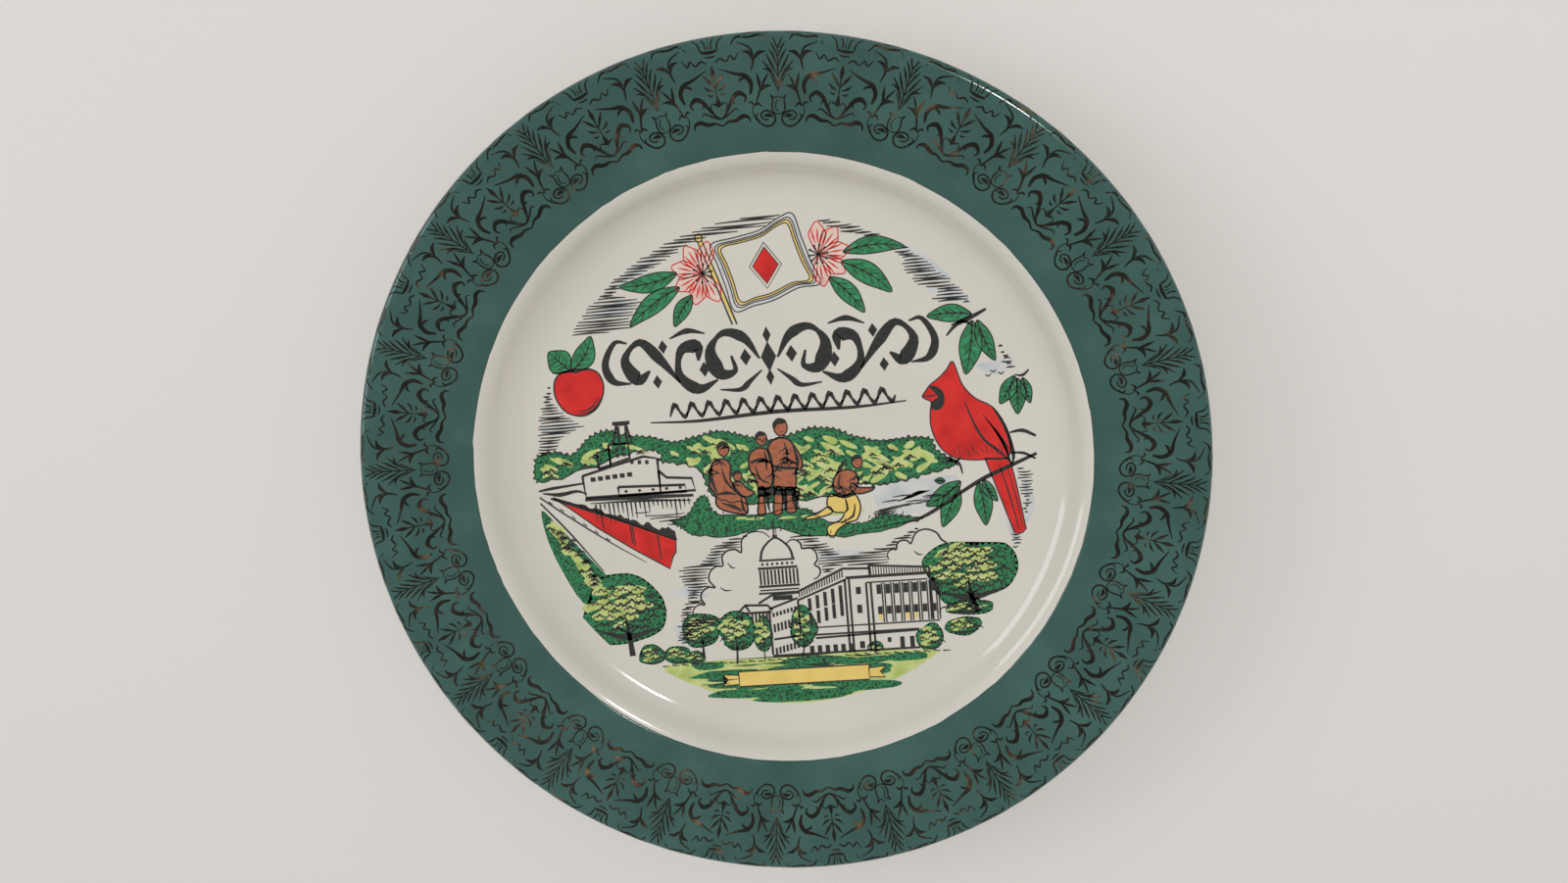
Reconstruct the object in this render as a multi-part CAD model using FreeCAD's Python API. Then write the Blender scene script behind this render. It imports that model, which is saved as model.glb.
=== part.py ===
import FreeCAD, Part
import math
import os
from FreeCAD import Vector

# Souvenir plate: a pressed earthenware plate with a foot ring, dipped in ivory glaze, with a
# green enamelled rim, a gold lace print on the rim and a printed picture in the well.
# Origin: on the plate's axis, at the level the foot ring stands on. +Z is up, +Y is the
# top of the picture. All lengths are millimetres and all angles degrees.

# The pottery blank
floor_radius = 81.6       # flat of the well
cavetto_radius = 10.6     # hollow curve from the floor into the wall of the well
wall_slope = 52.0         # slope of the wall of the well
well_depth = 7.6          # from the rim's inner corner down to the floor
verge_radius = 7.8        # rounded shoulder between the wall and the rim
rim_width = 32.1          # from the shoulder to the outside
rim_slope = 19.5          # how steeply the rim rises outwards
wall = 4.5                # thickness of the ware, and so of the full-round edge
foot_inset = 7.0          # from the rim of the floor in to the middle of the foot ring
foot_width = 6.5          # where the foot ring meets the base
foot_land = 2.4           # unglazed flat that the plate stands on
foot_height = 2.5
foot_fillet = 1.6         # where the foot ring runs into the base

# The fired layers, from the ware outwards
glaze_thickness = 0.35
enamel_thickness = 0.25
gilding_thickness = 0.20
ink_thickness = 0.20

# The green band and the gold lace on it
enamel_wrap = 50.0        # how far the band goes round the edge, below level
lace_wrap = 10.0          # how far the lace goes round the edge, below level
lace_inset = 4.4          # plain band inside the lace
lace_repeats = 20
lace_turn = 12.6          # direction of the first tulip
lace_line = 0.55          # width of a scroll line

# The printed picture
picture_margin = 2.6      # bare glaze between the picture and the wall of the well
picture_centre = (0.2, -1.0)   # the transfer lies a little off the plate's axis
key_line = 0.9            # width of a heavy outline
smallest_print = 0.5      # area in mm2 below which a scrap left between colours is dropped

# Sizes that follow
floor_level = foot_height + wall
foot_radius = floor_radius - foot_inset
picture_radius = floor_radius - picture_margin
shoulder_turn = wall_slope - rim_slope
floor_corner = floor_radius + cavetto_radius * math.tan(math.radians(wall_slope / 2))
shoulder_corner = floor_corner + well_depth / math.tan(math.radians(wall_slope))
shoulder_run = verge_radius * math.tan(math.radians(shoulder_turn / 2))
band_radius = shoulder_corner + shoulder_run * math.cos(math.radians(rim_slope))
plate_radius = band_radius + rim_width
shoulder_level = floor_level + well_depth
edge_centre_radius = plate_radius - wall / 2
rim_out = Vector(math.cos(math.radians(rim_slope)), 0, math.sin(math.radians(rim_slope)))
rim_up = Vector(-rim_out.z, 0, rim_out.x)
lace_radius = band_radius + lace_inset

AXIS = Vector(0, 0, 1)


def rim_top(radius):
    """Point on the rim's glazed upper face at a radius."""
    rise = (radius - shoulder_corner) * math.tan(math.radians(rim_slope))
    return Vector(radius, 0, shoulder_level + rise)


def rim_middle(radius):
    """Point half-way through the rim's thickness at a radius."""
    return rim_top(radius) - AXIS * (wall / 2 / math.cos(math.radians(rim_slope)))


def shifted_corner(before, corner, after, shift_in, shift_out):
    """Corner of a section after the side into it and the side out of it move outwards."""
    into = (corner - before).normalize()
    out = (after - corner).normalize()
    normal_in = Vector(into.z, 0, -into.x)
    normal_out = Vector(out.z, 0, -out.x)
    start = corner + normal_in * shift_in
    end = corner + normal_out * shift_out
    cross = into.x * out.z - into.z * out.x
    if abs(cross) < 1e-6:
        return end
    gap = end - start
    return start + into * ((gap.x * out.z - gap.z * out.x) / cross)


def rounded_edges(corners, radii):
    """Straight sides between the corners, with a tangent arc at each corner that has a radius."""
    edges = []
    last = corners[0]
    for i in range(1, len(corners) - 1):
        here = corners[i]
        if radii[i] <= 0:
            edges.append(Part.LineSegment(last, here).toShape())
            last = here
            continue
        into = (here - corners[i - 1]).normalize()
        out = (corners[i + 1] - here).normalize()
        turn = math.acos(max(-1.0, min(1.0, into.dot(out))))
        run = radii[i] * math.tan(turn / 2)
        first = here - into * run
        second = here + out * run
        inward = (out - into).normalize()
        middle = here + inward * (radii[i] / math.cos(turn / 2) - radii[i])
        edges.append(Part.LineSegment(last, first).toShape())
        edges.append(Part.Arc(first, middle, second).toShape())
        last = second
    edges.append(Part.LineSegment(last, corners[-1]).toShape())
    return edges


def ware_sides(shift):
    """Outline of the plate's section, with every side but the foot's land moved outwards.

    Returns the sides under the base, the land, and the sides from the foot out to the edge
    and back over the face to the axis.
    """
    edge_centre = rim_middle(edge_centre_radius)
    bend = math.tan(math.radians(wall_slope / 2))
    middle_slope = math.radians((wall_slope + rim_slope) / 2)
    through_shoulder = wall / math.cos(math.radians(shoulder_turn / 2))
    shoulder_top = Vector(shoulder_corner, 0, shoulder_level)
    under_shoulder = shoulder_top + Vector(
        through_shoulder * math.sin(middle_slope), 0, -through_shoulder * math.cos(middle_slope)
    )
    low = [
        Vector(0, 0, foot_height),
        Vector(foot_radius - foot_width / 2, 0, foot_height),
        Vector(foot_radius - foot_land / 2, 0, 0),
        Vector(foot_radius + foot_land / 2, 0, 0),
        Vector(foot_radius + foot_width / 2, 0, foot_height),
        Vector(floor_corner + wall * bend, 0, foot_height),
        under_shoulder,
        edge_centre - rim_up * (wall / 2),
    ]
    low_radii = [0, foot_fillet - shift, 0, 0, foot_fillet - shift,
                 cavetto_radius + wall + shift, verge_radius - wall - shift, 0]
    top = [
        edge_centre + rim_up * (wall / 2),
        shoulder_top,
        Vector(floor_corner, 0, floor_level),
        Vector(0, 0, floor_level),
    ]
    top_radii = [0, verge_radius + shift, cavetto_radius - shift, 0]
    shifts = [shift, shift, 0, shift, shift, shift, shift]
    moved_low = [low[0] - AXIS * shift]
    for i in range(1, len(low) - 1):
        moved_low.append(shifted_corner(low[i - 1], low[i], low[i + 1], shifts[i - 1], shifts[i]))
    moved_low.append(low[-1] - rim_up * shift)
    moved_top = [top[0] + rim_up * shift]
    for i in range(1, len(top) - 1):
        moved_top.append(shifted_corner(top[i - 1], top[i], top[i + 1], shift, shift))
    moved_top.append(top[-1] + AXIS * shift)
    under_base = rounded_edges(moved_low[:3], low_radii[:3])
    land = Part.LineSegment(moved_low[2], moved_low[3]).toShape()
    tip = edge_centre + rim_out * (wall / 2 + shift)
    round_edge = Part.Arc(moved_low[-1], tip, moved_top[0]).toShape()
    over_face = rounded_edges(moved_low[3:], low_radii[3:]) + [round_edge]
    over_face += rounded_edges(moved_top, top_radii)
    return under_base, land, over_face


def first_point(sides):
    return sides[0].valueAt(sides[0].FirstParameter)


def last_point(sides):
    return sides[-1].valueAt(sides[-1].LastParameter)


def joined_by_line(start, end):
    return Part.LineSegment(start, end).toShape()


def turned_about_axis(sides):
    """Solid that a closed section sweeps out in one turn."""
    section = Part.Face(Part.Wire(Part.__sortEdges__(sides)))
    return section.revolve(Vector(0, 0, 0), AXIS, 360)


def ware():
    """The biscuit body: all that lies under the glaze."""
    under_base, land, over_face = ware_sides(-glaze_thickness)
    axis_side = joined_by_line(last_point(over_face), first_point(under_base))
    return turned_about_axis(under_base + [land] + over_face + [axis_side])


def glaze_coat(part):
    """Glaze on one part of the outline: 0 is under the base and 2 is the rest."""
    inside = ware_sides(-glaze_thickness)[part]
    outside = ware_sides(0)[part]
    ends = [
        joined_by_line(first_point(inside), first_point(outside)),
        joined_by_line(last_point(inside), last_point(outside)),
    ]
    return turned_about_axis(inside + outside + ends)


def rim_coat(inner_radius, low, high, wrap):
    """Coat on the rim between two heights over the glaze, from a radius out and round the edge."""
    centre = rim_middle(edge_centre_radius)
    round_the_edge = math.radians(90 + rim_slope + wrap) / 2
    half_way = rim_up * math.cos(round_the_edge) + rim_out * math.sin(round_the_edge)
    end_way = Vector(math.cos(math.radians(wrap)), 0, -math.sin(math.radians(wrap)))
    starts = []
    ends = []
    sides = []
    for height in (low, high):
        reach = wall / 2 + height
        start = rim_top(inner_radius) + rim_up * height
        edge_top = centre + rim_up * reach
        end = centre + end_way * reach
        sides.append(joined_by_line(start, edge_top))
        sides.append(Part.Arc(edge_top, centre + half_way * reach, end).toShape())
        starts.append(start)
        ends.append(end)
    sides.append(joined_by_line(starts[0], starts[1]))
    sides.append(joined_by_line(ends[0], ends[1]))
    return turned_about_axis(sides)


def ribbon(points, widths):
    """Flat face along a smooth line, as wide at each point as asked."""
    line = Part.BSplineCurve()
    line.interpolate(points)
    left = []
    right = []
    steps = 2 * (len(points) - 1)
    for i in range(steps + 1):
        share = i / steps
        value = line.FirstParameter + share * (line.LastParameter - line.FirstParameter)
        place = line.value(value)
        along = line.tangent(value)[0]
        across = Vector(-along.y, along.x, 0)
        at = share * (len(widths) - 1)
        step = min(int(at), len(widths) - 2)
        width = widths[step] + (widths[step + 1] - widths[step]) * (at - step)
        left.append(place + across * (width / 2))
        right.append(place - across * (width / 2))
    sides = []
    for side in (left, right[::-1]):
        curve = Part.BSplineCurve()
        curve.interpolate(side)
        sides.append(curve.toShape())
    ends = [
        Part.LineSegment(left[-1], right[-1]).toShape(),
        Part.LineSegment(right[0], left[0]).toShape(),
    ]
    return Part.Face(Part.Wire([sides[0], ends[0], sides[1], ends[1]]))


# The gold lace. A place in a repeat is (across, out): across runs from -1 to 1 over the
# repeat's angle, and out from 0 at the lace's inner side to 1 at the outside of the plate.


def lace_point(across, out):
    angle = math.radians(lace_turn + across * 180 / lace_repeats)
    radius = lace_radius + out * (plate_radius - lace_radius)
    return Vector(radius * math.cos(angle), radius * math.sin(angle), 0)


def lace_line_face(places, widths):
    return ribbon([lace_point(across, out) for across, out in places], widths)


def lace_scroll(across, out, side):
    """Spiral scroll that winds in from its outside."""
    places = []
    for i in range(9):
        angle = math.radians(100 - 58 * i)
        size = 0.115 * (1 - 0.08 * i)
        places.append((side * (across + 1.75 * size * math.cos(angle)), out + size * math.sin(angle)))
    return lace_line_face(places, [0.9 * lace_line, 1.2 * lace_line, 0.8 * lace_line])


def lace_repeat():
    """One tulip and half of the basket motif at each side of it."""
    thin = lace_line
    faces = [
        lace_line_face([(0, 0.10), (0.001, 0.22), (0, 0.36)], [thin, 4 * thin, thin]),
        lace_line_face([(0, 0.40), (0.001, 0.52), (0, 0.66)], [thin, thin, thin]),
        lace_line_face([(0, 0.68), (0.001, 0.78), (0, 0.92)], [thin, 4 * thin, thin]),
        lace_line_face([(1, 0.50), (1.001, 0.57), (1, 0.66)], [thin, 4 * thin, thin]),
        lace_line_face([(0.84, 0.76), (1, 0.74), (1.16, 0.76)], [thin, 3 * thin, thin]),
    ]
    for side in (-1, 1):
        faces.append(lace_scroll(0.24, 0.115, side))
        leaves = [
            ([(0.06, 0.38), (0.20, 0.42), (0.38, 0.52), (0.46, 0.62)], [thin, 4 * thin, thin]),
            ([(0.06, 0.72), (0.16, 0.82), (0.28, 0.86)], [thin, 3 * thin, thin]),
            ([(0.96, 0.06), (0.82, 0.16), (0.66, 0.30), (0.70, 0.40)], [thin, 5 * thin, thin]),
            ([(0.54, 0.46), (0.68, 0.48), (0.90, 0.44)], [thin, 2 * thin, thin]),
            ([(0.92, 0.80), (0.80, 0.88), (0.62, 0.90)], [thin, 4 * thin, thin]),
            ([(0.40, 0.92), (0.46, 0.80), (0.58, 0.74), (0.68, 0.64)], [thin, 3 * thin, thin]),
        ]
        for places, widths in leaves:
            faces.append(lace_line_face([(side * across, out) for across, out in places], widths))
    return faces


def gold_lace(skin):
    """The repeat cut out of the layer that lies on the enamel, then turned about the plate."""
    height = rim_middle(plate_radius).z + 3 * wall
    cuts = [face.extrude(AXIS * height) for face in lace_repeat()]
    pieces = []
    for cut in cuts:
        pieces += skin.common(cut).Solids
    solids = []
    for repeat in range(lace_repeats):
        for piece in pieces:
            turned = piece.copy()
            turned.rotate(Vector(0, 0, 0), AXIS, repeat * 360 / lace_repeats)
            solids.append(turned)
    return Part.makeCompound(solids)


# The picture. Places in it are shares of the picture's radius, from its middle.


def picture_point(place):
    x = picture_centre[0] + place[0] * picture_radius
    y = picture_centre[1] + place[1] * picture_radius
    return Vector(x, y, floor_level)


def patch(places):
    """Face inside a smooth closed outline."""
    outline = Part.BSplineCurve()
    outline.interpolate([picture_point(place) for place in places], PeriodicFlag=True)
    return Part.Face(Part.Wire([outline.toShape()]))


def panel(places):
    """Face with straight sides."""
    corners = [picture_point(place) for place in places]
    return Part.Face(Part.makePolygon(corners + corners[:1]))


def stroke(places, widths):
    return ribbon([picture_point(place) for place in places], widths)


def leaf(root, tip, fullness):
    """Pointed leaf from its stalk to its tip."""
    (x0, y0), (x1, y1) = root, tip
    length = math.hypot(x1 - x0, y1 - y0)
    across = (-(y1 - y0) / length, (x1 - x0) / length)
    places = []
    for share, side in ((0, 0), (0.35, 1), (0.7, 0.75), (1, 0), (0.7, -0.75), (0.35, -1)):
        width = side * fullness * length / 2
        places.append((x0 + share * (x1 - x0) + across[0] * width,
                       y0 + share * (y1 - y0) + across[1] * width))
    return panel(places)


def crown(x, y, width, height):
    """Lobed crown of a tree."""
    places = []
    lobes = 7
    for i in range(2 * lobes):
        angle = math.radians(360 * i / (2 * lobes) + 90)
        size = 1.0 if i % 2 == 0 else 0.86
        places.append((x + size * width / 2 * math.cos(angle), y + size * height / 2 * math.sin(angle)))
    return patch(places)


def lawn(top, reach):
    """Everything below a level, out to a circle about the picture's middle."""
    circle = Part.Circle(picture_point((0, 0)), AXIS, reach * picture_radius)
    disc = Part.Face(Part.Wire([circle.toShape()]))
    return disc.common(panel([(-1, top), (1, top), (1, -1), (-1, -1)])).Faces[0]


def blossom(x, y, size):
    """Five open petals."""
    places = []
    for i in range(10):
        angle = math.radians(36 * i + 90)
        reach = size if i % 2 == 0 else 0.62 * size
        places.append((x + reach * math.cos(angle), y + reach * math.sin(angle)))
    return patch(places)


def key_print():
    """Black: title flourish, branches, sky hatching, staff, and the lines of the buildings."""
    thin = key_line / 2
    faces = [
        stroke([(-0.60, 0.44), (-0.40, 0.56), (-0.20, 0.36), (0.0, 0.50)], [thin, 4 * key_line, thin]),
        stroke([(0.02, 0.50), (0.22, 0.36), (0.42, 0.56), (0.60, 0.44)], [thin, 4 * key_line, thin]),
        stroke([(-0.50, 0.23), (-0.20, 0.27), (0.15, 0.24), (0.48, 0.26)], [thin, 2 * key_line, thin]),
        stroke([(-0.235, 0.92), (-0.19, 0.76), (-0.135, 0.60)], [key_line, key_line]),
        stroke([(0.83, 0.56), (0.76, 0.53), (0.69, 0.48)], [key_line, thin]),
        stroke([(0.48, -0.25), (0.70, -0.15), (0.87, -0.08), (0.97, -0.02)], [thin, key_line, key_line]),
        panel([(-0.79, 0.02), (-0.77, 0.02), (-0.77, -0.06), (-0.79, -0.06)]),
        panel([(-0.51, 0.10), (-0.49, 0.10), (-0.49, -0.06), (-0.51, -0.06)]),
        panel([(-0.80, 0.04), (-0.56, 0.10), (-0.48, 0.10), (-0.48, 0.115), (-0.56, 0.115), (-0.80, 0.055)]),
        panel([(-0.80, -0.06), (-0.34, -0.08), (-0.34, -0.10), (-0.80, -0.08)]),
        panel([(-0.12, -0.485), (0.03, -0.485), (0.03, -0.50), (-0.12, -0.50)]),
        panel([(0.05, -0.50), (0.22, -0.43), (0.55, -0.45), (0.55, -0.465), (0.22, -0.445), (0.05, -0.52)]),
        panel([(0.05, -0.68), (0.55, -0.67), (0.55, -0.685), (0.05, -0.695)]),
    ]
    dome = [(-0.125, -0.39), (-0.115, -0.32), (-0.05, -0.265), (0.015, -0.32), (0.025, -0.39)]
    faces.append(stroke(dome, [key_line, key_line]))
    for i in range(6):
        x = -0.12 + 0.029 * i
        faces.append(panel([(x, -0.41), (x + 0.008, -0.41), (x + 0.008, -0.475), (x, -0.475)]))
    for i in range(10):
        x = 0.07 + 0.05 * i
        faces.append(panel([(x, -0.53), (x + 0.01, -0.53), (x + 0.01, -0.66), (x, -0.66)]))
    for side in (-1, 1):
        for i in range(12):
            y = 0.62 + 0.026 * i
            outer = side * math.sqrt(0.965 ** 2 - y * y)
            inner = outer - side * (0.10 + 0.05 * (i % 3))
            middle = (inner + outer) / 2
            places = [(outer, y), (middle, y - 0.003), (inner, y)]
            faces.append(stroke(places, [thin, key_line, thin / 2]))
    return faces


def red_print():
    """Red: apple, crested bird, barge hull and a plain lozenge on the flag."""
    return [
        patch([(-0.77, 0.45), (-0.69, 0.45), (-0.67, 0.37), (-0.72, 0.29), (-0.77, 0.285),
               (-0.83, 0.29), (-0.87, 0.37), (-0.85, 0.45)]),
        patch([(0.69, 0.37), (0.73, 0.27), (0.80, 0.20), (0.88, 0.10), (0.90, -0.02),
               (0.81, -0.02), (0.70, -0.01), (0.61, 0.09), (0.61, 0.20), (0.58, 0.26), (0.62, 0.31)]),
        panel([(0.80, -0.025), (0.89, -0.035), (0.94, -0.31), (0.90, -0.32)]),
        panel([(-0.90, -0.06), (-0.45, -0.26), (-0.48, -0.37), (-0.74, -0.19)]),
        panel([(0.01, 0.87), (0.06, 0.80), (0.01, 0.73), (-0.04, 0.80)]),
    ]


def rose_print():
    """Pink: blossoms at both sides of the flag."""
    return [blossom(-0.245, 0.77, 0.10), blossom(0.225, 0.82, 0.08)]


def yellow_print():
    """Yellow: blank ribbon at the foot of the picture, the flag's border and a jacket."""
    return [
        panel([(-0.245, -0.835), (0.28, -0.835), (0.28, -0.90), (-0.245, -0.90)]),
        panel([(-0.31, -0.855), (-0.25, -0.85), (-0.25, -0.885), (-0.31, -0.89), (-0.29, -0.87)]),
        panel([(0.285, -0.85), (0.345, -0.85), (0.325, -0.87), (0.345, -0.885), (0.285, -0.885)]),
        panel([(-0.19, 0.895), (0.12, 0.965), (0.195, 0.735), (-0.12, 0.655), (-0.11, 0.675),
               (0.17, 0.75), (0.105, 0.94), (-0.17, 0.87)]),
        patch([(0.20, -0.15), (0.25, -0.13), (0.28, -0.20), (0.22, -0.25), (0.18, -0.20)]),
    ]


def brown_print():
    """Brown: coats of the group of settlers."""
    return [
        patch([(-0.24, 0.11), (-0.20, 0.02), (-0.17, -0.10), (-0.28, -0.14), (-0.28, 0.0)]),
        patch([(-0.08, 0.09), (-0.04, 0.0), (-0.06, -0.15), (-0.12, -0.12), (-0.12, 0.02)]),
        patch([(0.02, 0.17), (0.08, 0.06), (0.04, -0.16), (0.0, -0.17), (-0.02, 0.06)]),
        patch([(0.27, 0.0), (0.30, -0.06), (0.22, -0.12), (0.20, -0.06)]),
    ]


def dark_green_print():
    """Dark green: hills, trees, leaves and the far side of the lawn."""
    faces = [
        patch([(-0.97, 0.10), (-0.86, 0.14), (-0.72, 0.20), (-0.55, 0.17), (-0.42, 0.14), (-0.25, 0.18),
               (-0.08, 0.13), (0.10, 0.16), (0.28, 0.12), (0.45, 0.09), (0.60, 0.06), (0.66, -0.03),
               (0.45, -0.09), (0.15, -0.08), (-0.15, -0.05), (-0.45, 0.02), (-0.75, 0.04), (-0.95, 0.03)]),
        patch([(-0.45, -0.18), (-0.25, -0.17), (0.10, -0.16), (0.30, -0.20), (0.52, -0.25),
               (0.30, -0.29), (-0.10, -0.26), (-0.36, -0.24)]),
        panel([(-0.54, -0.80), (-0.2, -0.78), (0.2, -0.78), (0.54, -0.80), (0.2, -0.815), (-0.2, -0.815)]),
        crown(-0.68, -0.55, 0.30, 0.26),
        crown(0.72, -0.47, 0.32, 0.25),
        crown(-0.38, -0.65, 0.13, 0.12),
        crown(-0.245, -0.68, 0.12, 0.14),
        crown(0.03, -0.67, 0.09, 0.16),
        crown(-0.13, -0.68, 0.07, 0.12),
    ]
    leaves = [
        ((-0.34, 0.79), (-0.56, 0.77), 0.30), ((-0.33, 0.73), (-0.53, 0.62), 0.32),
        ((-0.28, 0.70), (-0.36, 0.60), 0.40), ((0.30, 0.82), (0.53, 0.83), 0.30),
        ((0.29, 0.77), (0.48, 0.67), 0.34), ((0.25, 0.72), (0.37, 0.60), 0.36),
        ((-0.77, 0.47), (-0.70, 0.58), 0.42), ((-0.80, 0.47), (-0.87, 0.52), 0.50),
        ((0.74, 0.57), (0.61, 0.55), 0.36), ((0.78, 0.51), (0.745, 0.33), 0.36),
        ((0.81, 0.51), (0.85, 0.39), 0.40), ((0.67, -0.10), (0.61, -0.24), 0.50),
        ((0.78, -0.12), (0.80, -0.27), 0.50), ((0.92, 0.28), (0.88, 0.20), 0.50),
    ]
    for root, tip, fullness in leaves:
        faces.append(leaf(root, tip, fullness))
    return faces


def light_green_print():
    """Light green: the lawn and the bank of the road."""
    return [
        lawn(-0.79, 0.985),
        panel([(-0.965, -0.16), (-0.88, -0.27), (-0.76, -0.40), (-0.83, -0.49), (-0.92, -0.34)]),
    ]


def blue_grey_print():
    """Blue-grey: the river and shadows in the sky."""
    return [
        patch([(0.30, -0.13), (0.50, -0.11), (0.64, -0.10), (0.50, -0.17), (0.36, -0.19)]),
        patch([(-0.60, 0.70), (-0.46, 0.86), (-0.40, 0.88), (-0.44, 0.80), (-0.56, 0.66)]),
        patch([(0.56, 0.72), (0.48, 0.87), (0.54, 0.82), (0.66, 0.70), (0.72, 0.62)]),
        patch([(-0.50, -0.44), (-0.38, -0.42), (-0.34, -0.50), (-0.46, -0.54)]),
    ]


def printed(faces, earlier):
    """One colour: its faces joined, kept clear of the colours that take its place, and raised."""
    joined = faces[0].multiFuse(faces[1:]) if len(faces) > 1 else faces[0]
    for other in earlier:
        joined = joined.cut(other)
    kept = [face for face in joined.Faces if face.Area > smallest_print]
    solids = []
    for face in kept:
        solids += face.extrude(AXIS * ink_thickness).Solids
    return joined, Part.makeCompound(solids)


os.makedirs("parts", exist_ok=True)

gold_base = enamel_thickness
gold_top = enamel_thickness + gilding_thickness
nodes = {
    "plate_body": ware(),
    "base_glaze": glaze_coat(0),
    "face_glaze": glaze_coat(2),
    "rim_enamel": rim_coat(band_radius, 0, enamel_thickness, enamel_wrap),
    "rim_gold_lace": gold_lace(rim_coat(lace_radius, gold_base, gold_top, lace_wrap)),
}

prints = [
    ("key_print", key_print()),
    ("red_print", red_print()),
    ("rose_print", rose_print()),
    ("yellow_print", yellow_print()),
    ("brown_print", brown_print()),
    ("dark_green_print", dark_green_print()),
    ("light_green_print", light_green_print()),
    ("blue_grey_print", blue_grey_print()),
]
laid = []
for name, faces in prints:
    flat, raised = printed(faces, laid)
    laid.append(flat)
    nodes[name] = raised

for name, shape in nodes.items():
    shape.exportStep("parts/" + name + ".step")
    box = shape.BoundBox
    print(name, len(shape.Solids), "solids", round(shape.Volume, 1), "mm3", shape.isValid(),
          "z", round(box.ZMin, 2), round(box.ZMax, 2), "x", round(box.XLength, 1))
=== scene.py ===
import math
import random
import bpy
import bmesh
from mathutils import Matrix, Vector


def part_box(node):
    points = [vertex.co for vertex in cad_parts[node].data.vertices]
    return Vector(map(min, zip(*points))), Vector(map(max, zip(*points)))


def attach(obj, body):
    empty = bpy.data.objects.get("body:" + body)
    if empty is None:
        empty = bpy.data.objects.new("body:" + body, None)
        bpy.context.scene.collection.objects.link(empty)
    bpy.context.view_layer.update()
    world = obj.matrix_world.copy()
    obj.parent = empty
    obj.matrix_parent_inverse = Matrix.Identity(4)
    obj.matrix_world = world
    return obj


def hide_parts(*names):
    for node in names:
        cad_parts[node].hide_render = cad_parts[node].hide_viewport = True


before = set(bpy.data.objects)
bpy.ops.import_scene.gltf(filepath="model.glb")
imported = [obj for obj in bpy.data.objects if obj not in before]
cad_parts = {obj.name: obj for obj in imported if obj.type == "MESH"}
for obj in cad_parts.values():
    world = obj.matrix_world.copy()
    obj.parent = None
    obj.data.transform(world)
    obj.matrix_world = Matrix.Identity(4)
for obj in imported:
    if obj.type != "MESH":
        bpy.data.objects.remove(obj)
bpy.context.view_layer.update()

# The plate lies on a pale table top and is seen from almost straight above. The view is turned
# five degrees against the picture, because the plate was put down slightly askew.
MM = 0.001
rim_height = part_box("face_glaze")[1].z - 0.0023
view_direction = Vector((0.0883, 0.2084, 0.9740))
camera_place = view_direction * 0.3366 + Vector((0, 0, rim_height))
aim = Vector((0.0032, 0.0107, rim_height))
picture_up = Vector((math.sin(math.radians(5)), math.cos(math.radians(5)), 0))
camera_data = bpy.data.cameras.new("camera")
camera_data.sensor_width = 36
camera_data.lens = 25.875
camera_data.clip_start = 0.01
camera = bpy.data.objects.new("camera", camera_data)
bpy.context.collection.objects.link(camera)
forward = (aim - camera_place).normalized()
right = forward.cross(picture_up).normalized()
upward = right.cross(forward)
camera.matrix_world = Matrix((
    (right.x, upward.x, -forward.x, camera_place.x),
    (right.y, upward.y, -forward.y, camera_place.y),
    (right.z, upward.z, -forward.z, camera_place.z),
    (0, 0, 0, 1),
))
bpy.context.scene.camera = camera

# The table top: a broad matt pale sheet, with its light. A soft box stands at the upper right,
# a broad one without a highlight at the left, and the rest comes evenly from the room.
table_mesh = bpy.data.meshes.new("table_top")
table_half = 3.0
table_mesh.from_pydata(
    [(-table_half, -table_half, 0), (table_half, -table_half, 0),
     (table_half, table_half, 0), (-table_half, table_half, 0)],
    [], [(0, 1, 2, 3)])
table_top = bpy.data.objects.new("table_top", table_mesh)
bpy.context.collection.objects.link(table_top)
table_paint = bpy.data.materials.new("table_paint")
table_paint.use_nodes = True
table_shader = table_paint.node_tree.nodes["Principled BSDF"]
table_shader.inputs["Base Color"].default_value = (0.72, 0.70, 0.68, 1)
table_shader.inputs["Roughness"].default_value = 0.7
table_mesh.materials.append(table_paint)

room = bpy.data.worlds.new("room")
room.use_nodes = True
room.node_tree.nodes["Background"].inputs["Color"].default_value = (1.0, 0.985, 0.96, 1)
room.node_tree.nodes["Background"].inputs["Strength"].default_value = 0.62
bpy.context.scene.world = room
bpy.context.scene.view_settings.view_transform = "Standard"


def soft_box(name, place, width, height, power, colour, shine):
    """Area light at a place, turned to the middle of the plate."""
    data = bpy.data.lights.new(name, "AREA")
    data.shape = "RECTANGLE"
    data.size = width
    data.size_y = height
    data.energy = power
    data.color = colour
    data.specular_factor = shine
    lamp = bpy.data.objects.new(name, data)
    lamp.location = place
    lamp.rotation_euler = (-Vector(place)).to_track_quat("-Z", "Y").to_euler()
    bpy.context.collection.objects.link(lamp)


soft_box("key_light", (0.36, 0.40, 1.15), 0.10, 0.08, 4.3, (1.0, 0.98, 0.95), 1.0)
soft_box("window_light", (-1.3, 0.35, 0.75), 0.9, 0.5, 5.0, (0.95, 0.98, 1.0), 0.0)

# The ware: a plate turned as one piece, with a flat well, a hollow wall, a rounded shoulder, a
# rising rim with a full-round edge, and a foot ring. Every coat on it is turned from a section.
floor_radius = 81.6
hollow_radius = 10.6
wall_slope = 52.0
well_depth = 7.6
shoulder_radius = 7.8
rim_width = 32.1
rim_slope = 19.5
thickness = 4.5
foot_inset = 7.0
foot_width = 6.5
foot_land = 2.4
foot_height = 2.5
foot_fillet = 1.6
glaze_thickness = 0.35


def sine(angle):
    return math.sin(math.radians(angle))


def cosine(angle):
    return math.cos(math.radians(angle))


def tangent(angle):
    return math.tan(math.radians(angle))


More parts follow.
